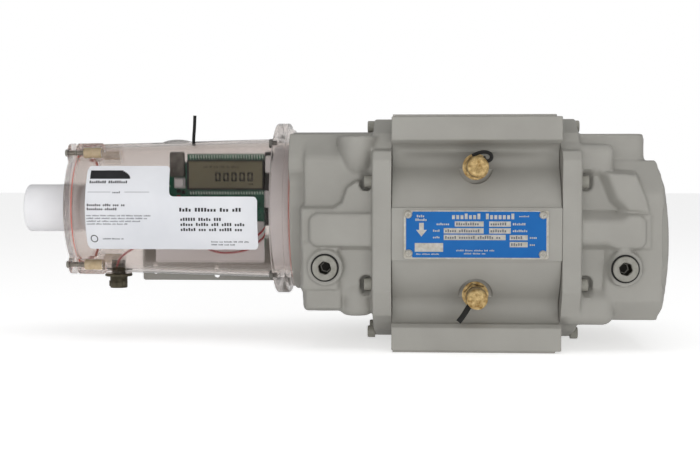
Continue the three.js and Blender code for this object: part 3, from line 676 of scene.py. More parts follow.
def flank(pad):
    """One side of the body, from the upper to the lower flange edge, as (distance from the middle, z):
    flange edge, slanting ledge, hollow flare, round bulge and, in front, the nameplate pad."""
    upper = [(0, FLANGE), (92, FLANGE), (92, REACH), (95, REACH), (95, REACH - 16.6), (90, REACH - 19.0)]
    upper = rounded(upper, [0, 0.6, 0, 1.0, 1.6, 1.2], 4)
    leave = np.radians(48)
    start = np.array([PITCH + BULGE * np.cos(leave), BULGE * np.sin(leave)])
    middle = start + FLARE * np.array([np.cos(leave), np.sin(leave)])
    a = np.linspace(np.radians(82), np.radians(180) + leave, 22)
    flare = middle + FLARE * np.stack([np.cos(a), np.sin(a)], axis=1)
    a = np.linspace(leave, np.radians(18.0), 14)[1:]
    arc = np.stack([PITCH + BULGE * np.cos(a), BULGE * np.sin(a)], axis=1)
    a = np.linspace(np.radians(18.0), 0, 8)[1:]
    rest = np.stack([PITCH + BULGE * np.cos(a), BULGE * np.sin(a)], axis=1)
    if pad:
        rest = rounded([(arc[-1][0], 19), (97.5, 19), (97.5, 0)], [0, 0.5, 0], 3)
    half_line = np.concatenate([upper, flare, arc, rest])
    return np.concatenate([half_line, (half_line * [1, -1])[-2::-1]])


front, back = flank(True), flank(False)
section = np.concatenate([front * [-1, 1], back[-2:0:-1]])
print("points round the body", len(section))

# %% Body casting
plain = np.stack([section[:, 0], np.clip(section[:, 1], -REACH, REACH)], axis=1)
drawn = plain * 0.9945
stations = [(-HALF_LENGTH, drawn), (-HALF_LENGTH + 0.5, plain), (-60, plain)]
stations += [(x, section) for x in np.linspace(-60, 56.5, 33)]
stations += [(57.0, plain), (HALF_LENGTH - 0.5, plain), (HALF_LENGTH, drawn)]
grid = np.stack([np.column_stack([np.full(len(line), x), line]) for x, line in stations])
# Under the upper flange the hollow is scooped out further, most in the middle of its length.
scoop = 7 * np.exp(-((grid[..., 2] - 61) / 4.5) ** 2) * np.clip(1 - (grid[..., 0] / 59) ** 2, 0, 1) ** 0.6
grid[..., 1] -= np.sign(grid[..., 1]) * scoop * (np.abs(grid[..., 1]) < 91)
body = piece("meter_body_casting", enamel, grid, caps=True, replaces=["meter_body"],
             sharp=30)
print("body faces", len(body.data.polygons))


# %% Booleans in one call
def combine(target, additions=(), cuts=(), sharp=35):
    """Unites solids with the target, takes others away and applies the result to its mesh."""
    for kind, tools in (("UNION", additions), ("DIFFERENCE", cuts)):
        for tool in tools:
            step = target.modifiers.new(kind.lower(), "BOOLEAN")
            step.operation, step.solver, step.object = kind, "EXACT", tool
    graph = bpy.context.evaluated_depsgraph_get()
    result = bpy.data.meshes.new_from_object(target.evaluated_get(graph))
    target.modifiers.clear()
    target.data = result
    for tool in (*additions, *cuts):
        bpy.data.objects.remove(tool)
    target.data.set_sharp_from_angle(angle=np.radians(sharp))


def cutter(grid, caps=False, look=machined):
    """A closed shape for a Boolean. It leaves the file once it has been used."""
    return piece("boolean_tool", look, grid, caps=caps)


# %% Bores, ports and threaded holes
CHAMBER = 1.5 * PITCH + 0.45
a = np.linspace(-np.pi + np.arccos(PITCH / CHAMBER), np.pi - np.arccos(PITCH / CHAMBER), 60)
lobe = np.stack([PITCH + CHAMBER * np.cos(a), CHAMBER * np.sin(a)], axis=1)
bore = np.concatenate([lobe, -lobe])
cutters = [cutter(prism(bore, "X", -70, 70, 0.1), True),
           cutter(turned([[0, -95], [26.5, -95], [26.5, 95], [0, 95]], "Z", (0, 0), 72))]
PLUGS = {"drive": (-109.0, -24.7), "thrust": (106.0, -24.7)}
for cover, spot in zip((drive_end_cover, thrust_end_cover), PLUGS.values()):
    profile = [[0, -76], [8.15, -76], [8.15, -99], [0, -99]]
    combine(cover, cuts=[cutter(turned(profile, "Y", spot, 48))], sharp=40)
    print(cover.name, "faces", len(cover.data.polygons))
BOLT = 120.65 / 2 * np.sqrt(0.5)
for side in (-1, 1):
    profile = [[r, side * z] for r, z in ((0, 63.7), (6.75, 66), (6.75, 84), (8.2, 86), (8.2, 90), (0, 90))]
    cutters += [cutter(turned(profile, "Z", (x, y), 28)) for x in (-BOLT, BOLT) for y in (-BOLT, BOLT)]
TAPS = {"upper": 48.3, "lower": -45.0}
for z in TAPS.values():
    profile = [[0, -50], [5.3, -50], [5.3, -76], [12.5, -76], [12.5, -110], [0, -110]]
    cutters.append(cutter(turned(profile, "Y", (0, z), 48)))
combine(body, cuts=cutters, sharp=30)
print("body faces after cutting", len(body.data.polygons))

# %% [markdown]
# ## Screws and oil plugs
#
# A socket screw is a turned profile in which the rows of the socket are six-sided: the radius of those
# rows is the flat's distance divided by the cosine of the angle from the flat's middle. Making the
# socket part of the turned grid keeps every screw one closed skin without a Boolean.

# %% A turned piece with six-sided rows
def with_flats(hex_rows, turn=0.0):
    """A wobble for turned(): the rows listed get a hexagon's outline, the others stay round."""
    def wobble(r, angle, row):
        return np.where(np.isin(row, hex_rows), r * hexagon(angle, turn), r)
    return wobble


# %% Cover screws
SCREW_SEAT = 75.3       # where the screw heads sit on the rims
for end, sign in (("drive", -1), ("thrust", 1)):
    spots = [(sy * y, sz * z) for y, z in SCREWS for sz in (1, -1) for sy in (-1, 1)]
    for i, spot in enumerate(spots):
        profile = [[0, -20], [2.6, -20], [2.6, 0], [4.3, 0], [4.6, 0.3], [4.6, 5.2], [4.1, 5.8], [2.6, 5.8],
                   [2.3, 5.5], [2.3, 2.6], [0, 2.0]]
        profile = [[r, sign * (SCREW_SEAT + x)] for r, x in profile]
        piece(f"cover_screw_{end}_{i + 1}_turned", screw_paint,
              turned(profile, "X", spot, 36, with_flats([8, 9], 0.4 * i)),
              replaces=[f"cover_screw_{end}_{i + 1}"])
print("cover screws", 16)

# %% Oil plugs with their seal rings
def oval_ring(radius, place, half_width, half_height):
    """Profile of a rubber ring with an oval section."""
    a = np.linspace(0, 2 * np.pi, 13)
    return np.stack([radius + half_width * np.cos(a), place + half_height * np.sin(a)], axis=1)


for end, spot in PLUGS.items():
    profile = [[0, -77], [7.4, -77], [8.1, -78], [8.1, -91.6], [9.0, -91.6], [9.0, -94.4], [8.6, -94.9],
               [4.9, -95], [4.3, -94.4], [4.1, -82.0], [0, -80.0]]
    piece(f"oil_plug_{end}_turned", plug_metal,
          turned(profile, "Y", spot, 72, with_flats([8, 9], 0.25)), replaces=[f"oil_plug_{end}"])
    # The socket's lining is painted shade: a dark sheet inside the socket, standing in for the shade of its
    # depth.
    shade_lining = [[0, -81], [4.0, -81], [4.0, -93.6], [3.8, -93.8], [3.7, -93.6], [3.7, -81.4], [0, -81.4]]
    piece(f"oil_plug_{end}_socket_shade_sheet", socket_shade,
          turned(shade_lining, "Y", spot, 72, with_flats([1, 2, 3, 4, 5], 0.25)))
    piece(f"oil_plug_ring_{end}", rubber,
          turned(oval_ring(9.5, -92.4, 0.7, 1.1), "Y", spot, 72), replaces=[f"oil_plug_seal_{end}"])
print("oil plugs", 2)

# %% [markdown]
# ## Pressure taps
#
# Each tap is a brass hexagon fitting in a spot face, closed by a knurled brass cap on a rubber tether.
# The knurl is cut into the cap's radius: a diamond pattern is the product of two spirals of opposite
# hand. The tether is a flat band carried along a loop.

# %% Paths and bands
def smooth_path(points, count=60, closed=False):
    """A curve through points: a Catmull-Rom spline, each span a cubic whose slopes at its ends are half
    the difference of the neighbouring points."""
    points = np.array(points, float)
    if closed:
        ring = np.concatenate([points[-1:], points, points[:2]])
    else:
        ring = np.concatenate([2 * points[:1] - points[1:2], points, 2 * points[-1:] - points[-2:-1]])
    at = np.linspace(0, len(ring) - 3, count, endpoint=not closed)
    i = np.minimum(at.astype(int), len(ring) - 4)
    t = (at - i)[:, None]
    p0, p1, p2, p3 = (ring[i + k] for k in range(4))
    return 0.5 * (2 * p1 + (p2 - p0) * t + (2 * p0 - 5 * p1 + 4 * p2 - p3) * t ** 2
                  + (3 * p1 - p0 - 3 * p2 + p3) * t ** 3)


def swept(path, half_width, half_height, upright, sides=12, closed=False, square=2.0):
    """Grid of an oval section carried along a path: upright is kept as the section's height direction,
    and the section's points are powers of cosine and sine, so a higher square makes a flatter band."""
    if closed:
        ahead = np.roll(path, -1, axis=0) - np.roll(path, 1, axis=0)
    else:
        ahead = np.gradient(path, axis=0)
    ahead /= np.linalg.norm(ahead, axis=1, keepdims=True)
    side = np.cross(ahead, np.array(upright, float))
    side /= np.linalg.norm(side, axis=1, keepdims=True)
    up = np.cross(side, ahead)
    a = np.linspace(0, 2 * np.pi, sides, endpoint=False)
    u = np.sign(np.cos(a)) * np.abs(np.cos(a)) ** (2 / square) * half_width
    v = np.sign(np.sin(a)) * np.abs(np.sin(a)) ** (2 / square) * half_height
    grid = path[:, None] + side[:, None] * u[None, :, None] + up[:, None] * v[None, :, None]
    return np.concatenate([grid, grid[:1]]) if closed else grid


# %% Caps and fittings
def knurl(first, last, depth, count=34, slant=0.55):
    """A wobble that cuts a diamond knurl between two rows: two opposite spirals multiplied."""
    def wobble(r, angle, row):
        one = np.abs(np.sin((angle * count + row * slant * np.pi) / 2))
        two = np.abs(np.sin((angle * count - row * slant * np.pi) / 2))
        band = (row >= first) & (row <= last)
        return r - band * depth * (1 - np.minimum(one, two) ** 0.7)
    return wobble


for name, z in TAPS.items():
    grip = [[7.6, y] for y in np.linspace(-112.4, -99.0, 26)]
    profile = [[0, -113.2], [2.6, -113.3], [4.6, -113.5], [6.4, -113.5], [7.3, -113.0], *grip,
               [7.1, -98.4], [6.5, -97.9], [6.5, -96.4], [6.1, -96.0], [5.3, -96.0], [5.3, -109.0],
               [0, -109.0]]
    piece(f"tap_cap_{name}_knurled", brass,
          turned(profile, "Y", (0, z), 136, knurl(5, 30, 0.42)),
          body=f"{name}_tap_cap", replaces=[f"tap_cap_{name}"], sharp=50)
    profile = [[0, -66], [5.0, -66], [5.0, -76.3], [9.6, -76.3], [9.6, -77.6], [7.2, -77.9], [7.7, -78.4],
               [7.7, -87.4], [7.2, -88.2], [5.6, -88.4], [4.9, -88.9], [4.9, -94], [4.6, -94.3],
               [4.6, -107.6], [4.1, -108], [1.6, -108], [1.4, -107.4], [1.4, -96], [0, -95.5]]
    piece(f"tap_fitting_{name}_turned", brass,
          turned(profile, "Y", (0, z), 60, with_flats([6, 7], 0.3)), replaces=[f"tap_fitting_{name}"])
print("caps", list(TAPS))

# %% Tethers
loop = smooth_path([(-3.0, -92.4, 56.2), (1.0, -93.4, 57.9), (4.6, -93.8, 58.7), (8.0, -93.8, 58.3),
                    (10.3, -93.8, 56.4), (10.2, -93.8, 53.8), (8.0, -93.6, 52.3), (5.7, -93.2, 53.2),
                    (4.9, -92.9, 55.4)], 60)
strap = smooth_path([(-3.4, -92.0, -50.0), (-6.2, -93.5, -54.0), (-9.2, -94.8, -58.6),
                     (-12.6, -95.6, -63.0)], 30)
BANDS = {"upper": ("loop", swept(loop, 1.3, 1.3, (0, 1, 0), 12, square=3.5)),
         "lower": ("strap", swept(strap, 2.0, 0.7, (0, 1, 0.15), 12, square=5))}
a = np.linspace(0, 2 * np.pi, 12, endpoint=False)
for name, (form, grid) in BANDS.items():
    piece(f"tap_tether_{name}_{form}", rubber, grid, caps=True,
          replaces=[f"tap_tether_{name}"], sharp=60)
    ring = np.stack([6.3 * np.cos(a), np.full(12, -91.2), 6.3 * np.sin(a) + TAPS[name]], axis=1)
    piece(f"tap_tether_{name}_ring", rubber,
          swept(smooth_path(ring, 48, True), 0.9, 1.0, (0, 1, 0), 10, True, 4), sharp=60)
print("tethers", 2)

# %% [markdown]
# ## Nameplate
#
# A thin aluminium plate with blue ink printed on it. The ink leaves a border, the stamped data fields
# and a patch round each screw bare. The fields carry no real data: their marks are plain little bars.
# Print is drawn as very thin closed slabs, so it is part of the geometry and stays sharp.

# %% Thin slabs of print
def slabs(name, look, fields, place, thick, body="meter"):
    """Many small slabs as one piece. A row of fields is (u0, u1, v0, v1) on the surface; place(u, v, d)
    is the point d mm above the surface there."""
    u0, u1, v0, v1 = np.array(fields, float).T
    u = np.stack([u0, u1, u1, u0] * 2, axis=1)
    v = np.stack([v0, v0, v1, v1] * 2, axis=1)
    d = np.broadcast_to([0, 0, 0, 0, thick, thick, thick, thick], u.shape)
    points = place(u, v, d).reshape(-1, 3)
    box = np.array([(0, 3, 2, 1), (4, 5, 6, 7), (0, 1, 5, 4), (1, 2, 6, 5), (2, 3, 7, 6), (3, 0, 4, 7)])
    faces = (box[None] + 8 * np.arange(len(u0))[:, None, None]).reshape(-1, 4)
    return finish_piece(name, look, points, faces.tolist(), body=body)


dice = np.random.default_rng(7)


def marks(u0, u1, v0, height, letter=0.55):
    """A line of word-like marks from u0 to u1: bars as wide as letters, with gaps between groups."""
    pitch = height * letter * 1.5
    count = max(1, int((u1 - u0) / pitch))
    keep = np.ones(count, bool)
    gap = 0
    while gap < count:
        gap += int(dice.integers(4, 9))
        if gap < count - 2:
            keep[gap] = False
    left = u0 + pitch * np.arange(count)[keep]
    tall = height * dice.choice([0.72, 1.0], size=len(left), p=[0.6, 0.4])
    return np.stack([left, left + height * letter, np.full(len(left), v0), v0 + tall], axis=1)


def on_plate(u, v, d):
    """A point of the nameplate's face, d mm in front of it."""
    return np.stack([u, PLATE_FACE - d, v], axis=-1)


def plate_outline(x0, x1, z0, z1, r, hollow=0.0):
    """A rectangle with rounded corners, or with corners hollowed by a circle where hollow isn't zero."""
    if hollow:
        a = np.linspace(0, np.pi / 2, 9)
        spots = [(x1, z1, np.pi), (x0, z1, 1.5 * np.pi), (x0, z0, 0), (x1, z0, 0.5 * np.pi)]
        return np.concatenate([np.stack([x + hollow * np.sin(a - t), z + hollow * np.cos(a - t)], axis=1)
                               for x, z, t in spots])
    return rounded([(x1, z1), (x0, z1), (x0, z0), (x1, z0)], r, 6, True)


# %% Plate, ink and fields
PLATE_FACE = -98.6      # front of the sheet
INK_FACE = 0.12         # how far the ink stands out from it
piece("nameplate_sheet", bare_plate,
      prism(plate_outline(-52, 51, -17.6, 17.2, 1.6), "Y", -97.8, PLATE_FACE, 0.15), caps=True,
      replaces=["nameplate"])
piece("nameplate_ink", blue_ink,
      prism(plate_outline(-50.3, 49.3, -16.6, 16.3, 0, 4.6), "Y", PLATE_FACE, PLATE_FACE - INK_FACE, 0.03),
      caps=True)
fields = [(-15.6, 4.9, 5.6, 9.3), (8.8, 24.1, 5.6, 9.3), (-23.4, 4.9, 0.7, 4.5), (8.8, 24.1, 0.7, 4.5),
          (-23.4, 20.5, -4.0, -0.2), (23.4, 36.1, -4.0, -0.4), (23.4, 36.1, -9.0, -5.3),
          (-44.0, -23.8, -12.4, -6.2)]
slabs("nameplate_fields", bare_plate, fields, on_plate, INK_FACE + 0.1)
stamped = [marks(u0 + 1.0, u1 - 2.5, v0 + 0.9, 2.0) for u0, u1, v0, v1 in fields[:-1]]
slabs("nameplate_stamping", grey_ink, np.concatenate(stamped), on_plate, INK_FACE + 0.14)
lines = [marks(-17.5, 28.5, 10.9, 4.0, 0.5), marks(-28.5, -18.0, 6.6, 1.6), marks(-31.0, -25.0, 1.9, 1.5),
         marks(-31.0, -25.0, -2.8, 1.5), marks(25.6, 36.0, 6.6, 1.6), marks(25.6, 37.0, 1.8, 1.6),
         marks(37.6, 43.5, -3.0, 1.6), marks(37.6, 42.0, -8.0, 1.6), marks(-42.6, -36.0, 12.2, 1.7),
         marks(-43.6, -35.0, 9.6, 1.7), marks(-14.5, 12.8, -12.0, 1.1), marks(-9.0, 7.0, -14.2, 1.1),
         marks(30.0, 38.0, 12.4, 1.1), marks(-43.0, -26.0, -14.6, 1.0)]
slabs("nameplate_lines", bare_plate, np.concatenate(lines), on_plate, INK_FACE + 0.05)
arrow = np.array([(-37.6, 8.2), (-40.9, 8.2), (-40.9, 3.2), (-43.1, 3.2), (-39.3, -1.6), (-35.4, 3.2),
                  (-37.6, 3.2)])
piece("nameplate_arrow", bare_plate,
      prism(arrow, "Y", PLATE_FACE, PLATE_FACE - INK_FACE - 0.06, 0.03), caps=True)


def cross_recess(r, angle, row):
    """A wobble that gives the inner rows four wings, for a cross recess."""
    return np.where(row >= 6, r * (1 - 0.55 * np.sin(2 * angle) ** 2), r)


screw = [[0, -97.9], [2.9, -97.9], [2.9, -99.2], [2.6, -99.8], [2.1, -100.2], [1.7, -100.35],
         [1.6, -100.3], [1.3, -99.6], [0, -99.3]]
for i, spot in enumerate([(-48.8, 14.2), (47.0, 13.9), (-48.4, -13.6), (46.9, -14.0)]):
    piece(f"nameplate_screw_{i + 1}", bare_plate, turned(screw, "Y", spot, 40, cross_recess))
print("nameplate fields", len(fields))

# %% [markdown]
# ## Clear index cover
#
# The cover is one thick moulding: a slightly tapered tube with a wide ring flange at the meter, four
# screw lugs at its far end, a low hump for the seal and a pad for the connector. It is made as solids
# that are united and then bored out, so that the wall has a real thickness for the light to bend in.

# %% Places round the index
LUG_ANGLES = np.radians([55, 125, 235, 305])
CONNECTOR_X = -282.3


def on_index(radius, angle):
    """A place across the index axis, seen from the far end."""
    return (-radius * np.cos(angle), INDEX_Z + radius * np.sin(angle))


def about_index(profile, steps=96, r=0, arc=5):
    """Grid of a profile turned about the index axis, its corners rounded where r says so."""
    return turned(rounded(profile, r, arc), "X", (0, INDEX_Z), steps)


def lug_tools(profile, radius, steps):
    """A turned tool at each of the four screw lugs, for a Boolean."""
    return [cutter(turned(profile, "X", on_index(radius, angle), steps), look=clear) for angle in LUG_ANGLES]


# %% Cover body
COVER_END = -306        # far end of the cover, where the cap's seal lies
profile = [(0, COVER_END), (51.8, COVER_END), (51.8, -297.5), (50.9, -296), (54.8, -158), (57.5, -153),
           (67, -153), (67, -143), (62, -143), (62, -139.5), (0, -139.5)]
cover = piece("index_cover_moulding", clear,
              about_index(profile, r=[0, 0.8, 0.8, 1.5, 3.5, 1.5, 1.4, 1.2, 0.4, 0.5, 0]),
              replaces=["clear_cover"])
SCREW_RADIUS = 53.0
lug_profile = [(0, COVER_END), (8.2, COVER_END), (8.5, -285.6), (0, -285.6)]
lug_profile = rounded(lug_profile, [0, 0.8, 2.0, 0], 5)
lugs = lug_tools(lug_profile, SCREW_RADIUS - 1, 40)
a = np.linspace(0, np.pi, 14)
hump = [[max(np.sin(t) * 16, 0), 64 + 6.6 * -np.cos(t)] for t in a]
hump = turned(hump, "Z", (-233.5, 0), 40)
pad = rounded([(0, -36.3), (11, -36.3), (11, -20), (0, -20)], [0, 0.8, 0, 0], 3)
pad = turned(pad, "Z", (CONNECTOR_X, 0), 40)
bore = about_index([(0, -310), (47.6, -310), (47.6, -305.9), (52, -153), (52, -130), (0, -130)])
holes = lug_tools([[0, -308], [4.3, -308], [4.3, -287.1], [0, -287.1]], SCREW_RADIUS, 32)
socket = turned([[0, -40], [6.0, -40], [6.0, -22], [0, -22]], "Z", (CONNECTOR_X, 0), 32)
combine(cover, [*lugs, cutter(hump, look=clear), cutter(pad, look=clear)],
        [cutter(bore, look=clear), *holes, cutter(socket, look=clear)])
print("cover faces", len(cover.data.polygons))

# %% End cap, its seal, inserts and screws
CAP_FACE, CAP_BACK = -313, -308.2
profile = [(0, CAP_FACE), (50.2, CAP_FACE), (51.6, -311.6), (51.6, CAP_BACK), (0, CAP_BACK)]
cap = piece("index_end_cap_moulding", clear,
            about_index(profile, r=[0, 1.5, 0.8, 0.6, 0]), replaces=["end_cap"])
lug_profile = [(0, CAP_FACE), (8.0, CAP_FACE), (8.2, CAP_BACK), (0, CAP_BACK)]
lug_profile = rounded(lug_profile, [0, 1.4, 0.4, 0], 4)
mouth = about_index([[0, -330], [19.2, -330], [19.2, -290], [0, -290]], 64)
holes = lug_tools([[0, -330], [2.1, -330], [2.1, -290], [0, -290]], SCREW_RADIUS, 20)
combine(cap, lug_tools(lug_profile, SCREW_RADIUS - 1, 40), [cutter(mouth, look=clear), *holes])
piece("end_cap_seal_ring", red_rubber, about_index(oval_ring(46.8, -307.2, 1.9, 0.75)),
      replaces=["end_cap_gasket"])
insert = [[2.1, -301], [4.0, -301], [4.2, -300.6], [4.2, -295.4], [3.9, -295], [3.9, -293.4], [4.2, -293],
          [4.2, -287.8], [3.9, -287.4], [0, -287.4], [0, -289], [2.1, -290], [2.1, -301]]
screw = [[0, -292], [1.9, -292], [1.9, -313.2], [2.7, -313.2], [2.8, -313.5], [2.8, -315.4], [2.4, -315.9],
         [1.5, -315.9], [1.3, -315.6], [1.3, -314.4], [0, -314.1]]
for i, angle in enumerate(LUG_ANGLES):
    spot = on_index(SCREW_RADIUS, angle)
    piece(f"cap_screw_insert_{i + 1}", insert_brass, turned(insert, "X", spot, 32))
    piece(f"cap_screw_{i + 1}", plug_metal, turned(screw, "X", spot, 32, with_flats([8, 9])))
profile = [(53, -139.2), (56, -139.2), (56, -138.3), (53, -138.3), (53, -139.2)]
piece("base_seal_ring", red_rubber, about_index(profile), replaces=["base_gasket"])
screw = [[0, -150], [1.9, -150], [1.9, -153.2], [3.4, -153.2], [3.5, -153.5], [3.5, -155.4], [3.0, -156],
         [1.9, -156], [1.7, -155.7], [1.7, -154.4], [0, -154.1]]
for i, angle in enumerate(LUG_ANGLES):
    piece(f"ring_screw_{i + 1}", dark_steel,
          turned(screw, "X", on_index(61.5, angle), 32, with_flats([8, 9])))
print("end cap done")

# %% [markdown]
# ## Index label
#
# The label is coated paper stuck round the front of the tapered tube. Its lower edge is straight and
# its upper edge steps down to leave the display free. A sheet is drawn between the two edges in X and Z,
# then each point goes onto the cone: Y is the root of the radius squared less the height squared.

# %% Label sheet
def on_label(x, z, d):
    """A point d mm outside the label on the tapered tube. The radius grows evenly along X."""
    radius = 51.2 + (x + 296) * (54.8 - 50.9) / 138 + 0.45 + d
    return np.stack([x, -np.sqrt(radius ** 2 - (z - INDEX_Z) ** 2), z], axis=-1)


top_line = rounded([(-295.5, 17), (-295.5, 49.3), (-231.6, 49.3), (-230.4, 26), (-163.2, 26), (-163.0, 17)],
                   [0, 3.0, 3.0, 3.5, 3.0, 0], 6)
low_line = rounded([(-295.5, 17), (-295.5, -14.5), (-163.0, -14.5), (-163.0, 17)], [0, 3.0, 3.0, 0], 6)
by_x = np.unique(np.concatenate([np.linspace(-295.5, -163.0, 90), np.linspace(-232.5, -229, 12)]))


def edge_at(line, x):
    """Height of an edge at x, read between its corner points."""
    order = np.argsort(line[:, 0], kind="stable")
    return np.interp(x, line[order, 0], line[order, 1])


upper_z = edge_at(top_line[top_line[:, 1] > 17.5], by_x)
lower_z = edge_at(low_line[low_line[:, 1] < 16.5], by_x)
mix = np.linspace(0, 1, 26)[:, None]
flat_x = np.broadcast_to(by_x, (26, len(by_x)))
flat_z = lower_z * (1 - mix) + upper_z * mix
skin = np.concatenate([on_label(flat_x, flat_z, 0.0), on_label(flat_x, flat_z, -0.3)[::-1]])
piece("index_label_sheet", label_paper, np.swapaxes(skin, 0, 1), caps=True,
      replaces=["index_label"], sharp=40)
block_rows = [(-292.8, -261.5 - 0.12 * k * k, 39.4 + 0.8 * k, 40.25 + 0.8 * k) for k in range(8)]
black_lines = [block_rows, marks(-292.8, -262.0, 36.0, 2.0), marks(-294.0, -264.0, 18.6, 1.9),
               marks(-294.0, -269.5, 15.5, 1.9), marks(-222.5, -173.4, 14.6, 2.9),
               marks(-221.8, -189, 7.6, 2.4), marks(-221.8, -171.0, 3.7, 2.4),
               marks(-221.8, -173.4, -0.2, 2.4)]
slabs("index_label_headings", black_ink, np.concatenate(black_lines), on_label, 0.06)
grey_lines = [[(-293.8, -276.0, 29.2, 29.5), (-265.0, -246.0, 29.2, 29.5)], marks(-274.4, -267.0, 28.4, 1.5),
              marks(-294.4, -244.0, 10.9, 1.1), marks(-294.4, -247.0, 8.8, 1.1),
              marks(-294.4, -252.5, 6.6, 1.1), marks(-294.4, -262.0, 4.5, 1.1),
              marks(-283.0, -266.0, -7.0, 1.1), marks(-199.0, -169.8, -9.0, 1.1),
              marks(-199.0, -180.4, -11.3, 1.1)]
slabs("index_label_small_lines", grey_ink, np.concatenate(grey_lines), on_label, 0.06)
a = np.linspace(0, 2 * np.pi, 41)
ring_x, ring_z = -289.6 + np.outer([2.9, 2.2], np.cos(a)), -6.4 + np.outer([2.9, 2.2], np.sin(a))
ring_section = ((0, 0), (0, 0.06), (1, 0.06), (1, 0), (0, 0))     # outer or inner edge, height
ring = np.stack([on_label(ring_x[edge], ring_z[edge], d) for edge, d in ring_section])
piece("index_label_ring_mark", black_ink, ring[:, :-1])
print("label marks", sum(len(part) for part in black_lines + grey_lines))

# %% [markdown]
# ## Display and electronics
#
# Behind the clear wall a green board carries the display: a black frame, olive liquid crystal glass with
# seven-segment figures, and a row of soldered pins above and below. The figures are zeros, each built of
# six bars.

# %% Board, frame and glass
def on_board(depth):
    """Gives a place function for parts that stand on a plane at that depth, facing the front."""
    def place(u, v, d):
        return np.stack([u, depth - d, v], axis=-1)
    return place


def plate(name, look, slot, x, y, z, r, edge=0.25, replaces=()):
    """A flat part with rounded corners and a fine chamfer; y runs from its back to its front."""
    return piece(name, look, prism(plate_outline(*x, *z, r), "Y", y[0], y[1], edge), caps=True,
                 replaces=replaces)


BOARD_FACE = -17.6      # front of the main board
DISPLAY_FACE = -19.4    # front of the display's own board
GLASS_FACE = -24.9      # front of the liquid crystal glass
corners = [(-161, 52.5), (-236, 52.5), (-236, 45), (-258, 45), (-258, -6), (-236, -6), (-236, -14),
           (-161, -14)]
piece("main_board", solder_mask,
      prism(rounded(corners, 1.2, 3, True), "Y", -16, BOARD_FACE, 0.1), caps=True,
      replaces=["circuit_board"])
plate("display_board", solder_mask, "board_green", (-222.5, -161.6), (-18, DISPLAY_FACE), (26.4, 58.6),
      0.8, 0.1)
plate("display_frame", black_plastic, "black_plastic", (-222.0, -161.4), (-19.5, -24.2), (30.8, 53.9),
      0.8, 0.3, ["lcd_module"])
plate("display_glass", lcd_glass, "display", (-220.4, -162.8), (-24.2, GLASS_FACE), (32.0, 52.7), 0.4, 0.12)
segments = []
for k in range(5):
    x, z, w, h, t = -199.7 + 6.3 * k, 37.3, 4.4, 7.0, 1.3
    segments += [(x + 0.3, x + w - 0.3, z, z + t), (x + 0.3, x + w - 0.3, z + h - t, z + h),
                 (x, x + t, z + 0.4, z + h / 2 - 0.2), (x, x + t, z + h / 2 + 0.2, z + h - 0.4),
                 (x + w - t, x + w, z + 0.4, z + h / 2 - 0.2),
                 (x + w - t, x + w, z + h / 2 + 0.2, z + h - 0.4)]
slabs("display_figures", lcd_ink, segments, on_board(GLASS_FACE), 0.05)
caption = [marks(-209, -180, 48.0, 1.1), marks(-173.5, -169.5, 34.6, 1.1)]
slabs("display_caption", lcd_ink, np.concatenate(caption), on_board(GLASS_FACE), 0.03)
pins = [(x, x + 1.1, z0, z0 + 2.2) for x in np.arange(-220.4, -163, 2.1) for z0 in (55.2, 27.2)]
slabs("display_pins", solder, pins, on_board(DISPLAY_FACE), 0.9)
print("pins", len(pins))

profile = [(0, -154), (49.3, -154), (49.3, -139.8), (47.0, -139.8), (47.0, -151.5), (0, -151.5)]
piece("index_base_cup", white_tube,
      about_index(profile, 72, [0, 0.8, 0.4, 0.4, 0.8, 0], 4), replaces=["index_base"])

# %% Chips, connector, bracket and wires
chips = [(-254, -244, 34, 40), (-234, -230, 44, 50), (-231, -228, 28.5, 31),
         (-227, -224.6, 27.5, 30), (-255, -248, 24, 34), (-240, -230, 8, 18), (-215, -200, -11, -2)]
slabs("board_chips", black_plastic, chips, on_board(BOARD_FACE), 1.6)
small_z = 43 - 3.2 * (np.arange(12) % 4)
small = [(x, x + 1.6, z, z + 0.9) for x, z in zip(np.linspace(-256, -238, 12), small_z)]
slabs("board_small_parts", solder, small, on_board(BOARD_FACE), 0.7)
FLAT_PARTS = {   # look, slot, x, y from back to front, z, corner radius, chamfer, replaced node
    "cable_plug": (white_tube, "white_plastic", (-231.8, -225.2), (BOARD_FACE, -24), (33, 39), 0.6, 0.4),
    "cable_plug_base": (white_tube, "white_plastic", (-233, -224.4), (BOARD_FACE, -19.2), (32, 40), 0.4,
                        0.3),
    "board_clip": (dark_steel, "machined_aluminium", (-236, -224.5), (-18, -22), (41, 60), 1.5, 0.5,
                   ["board_bracket"]),
    "board_carrier": (black_plastic, "black_plastic", (-161, -154.4), (-14, -23.5), (3, 60), 1.0, 0.5),
    "carrier_clip_upper": (white_tube, "white_plastic", (-160.2, -155), (-23.5, -26.5), (44, 57), 1.0, 0.5),
    "carrier_clip_lower": (white_tube, "white_plastic", (-160.5, -156.5), (-23.5, -26), (17, 30), 1.0, 0.5),
    "board_lower_shield": (white_tube, "machined_aluminium", (-248, -162), (-17.7, -18.6), (-26, 6), 1.5,
                           0.2),
}
for name, values in FLAT_PARTS.items():
    plate(name, *values)
routes = {
    "sensor_wire_1": [(-228.5, -20, 26), (-226, -25, 20), (-212, -30, -2), (-196, -30, -14), (-178, -28, -13),
                      (-166, -24, -4), (-160.5, -22, 2)],
    "sensor_wire_2": [(-230.0, -20, 26), (-229, -26, 19), (-216, -31, -6), (-198, -31, -17), (-176, -29, -16),
                      (-164, -24, -8), (-160.5, -22, -3)],
    "output_wire": [(CONNECTOR_X, -6, -30), (-276, -16, -22), (-262, -24, -14), (-246, -26, -10),
                    (-232, -22, -8)],
}
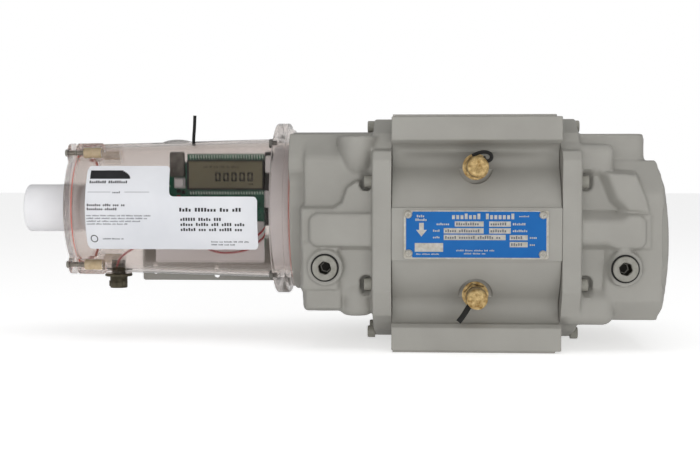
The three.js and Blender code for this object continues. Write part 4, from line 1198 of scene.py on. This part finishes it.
for name, route in routes.items():
    wire = swept(smooth_path(route, 70), 0.75, 0.75, (0, 1, 0.2), 10)
    piece(name, red_wire, wire, caps=True)
print("wires", list(routes))

# %% [markdown]
# ## Tube, connector, badge plate and seal
#
# The white tube is a plain moulding that holds the battery. The output connector is an olive shell with
# bayonet pins and fine rings. The seal is a thin black tie through the hump.

# %% Tube and connector
profile = [(0, -354), (18.8, -354), (18.8, -262), (17.0, -262), (17.0, -350), (0, -350)]
piece("battery_tube_moulding", white_tube,
      about_index(profile, 80, [0, 1.4, 0.4, 0.3, 0.6, 0]), replaces=["battery_tube"])
rings = [[7.0 - 0.25 * (k % 2), -44.0 + 0.45 * k] for k in range(12)]
profile = [[0, -45.4], [2.2, -45.4], [5.6, -45.4], [5.6, -47.6], [6.0, -48], [6.6, -48], [6.9, -47.4],
           [6.9, -44.4], *rings, [6.7, -38.7], [10.4, -38.7], [10.8, -38.3], [10.8, -37.1], [10.4, -36.6],
           [5.5, -36.6], [5.5, -26], [0, -26]]
piece("output_connector_shell", olive_shell, turned(profile, "Z", (CONNECTOR_X, 0), 64),
      replaces=["pulse_connector"], sharp=28)
for i, angle in enumerate(np.radians([200, 320, 80])):
    x, y = CONNECTOR_X + 6.6 * np.cos(angle), 6.6 * np.sin(angle)
    pin = turned([[0, -42.2], [1.1, -42.2], [1.1, -46.4], [0.7, -46.8], [0, -46.8]], "Z", (x, y), 16)
    piece(f"bayonet_pin_{i + 1}", olive_shell, pin)
tie = smooth_path([(-220.9, 0, 66), (-220.9, 0, 72), (-220.3, 0, 80), (-219.9, 0, 89.6)], 30)
piece("seal_tie_strap", rubber, swept(tie, 0.9, 1.3, (1, 0, 0), 12, square=3), caps=True,
      replaces=["seal_tie"], sharp=60)
badge = plate("badge_plate_sheet", enamel, "casting_enamel", (-275, -150), (58.5, 56.5), (-46.5, -8),
              2.0, 0.3, ["badge_plate"])
holes = [cutter(turned([[0, 50], [2.4, 50], [2.4, 70], [0, 70]], "Y", spot, 32))
         for spot in ((-264.5, -39), (-212, -42))]
combine(badge, cuts=holes)
print("pieces done")
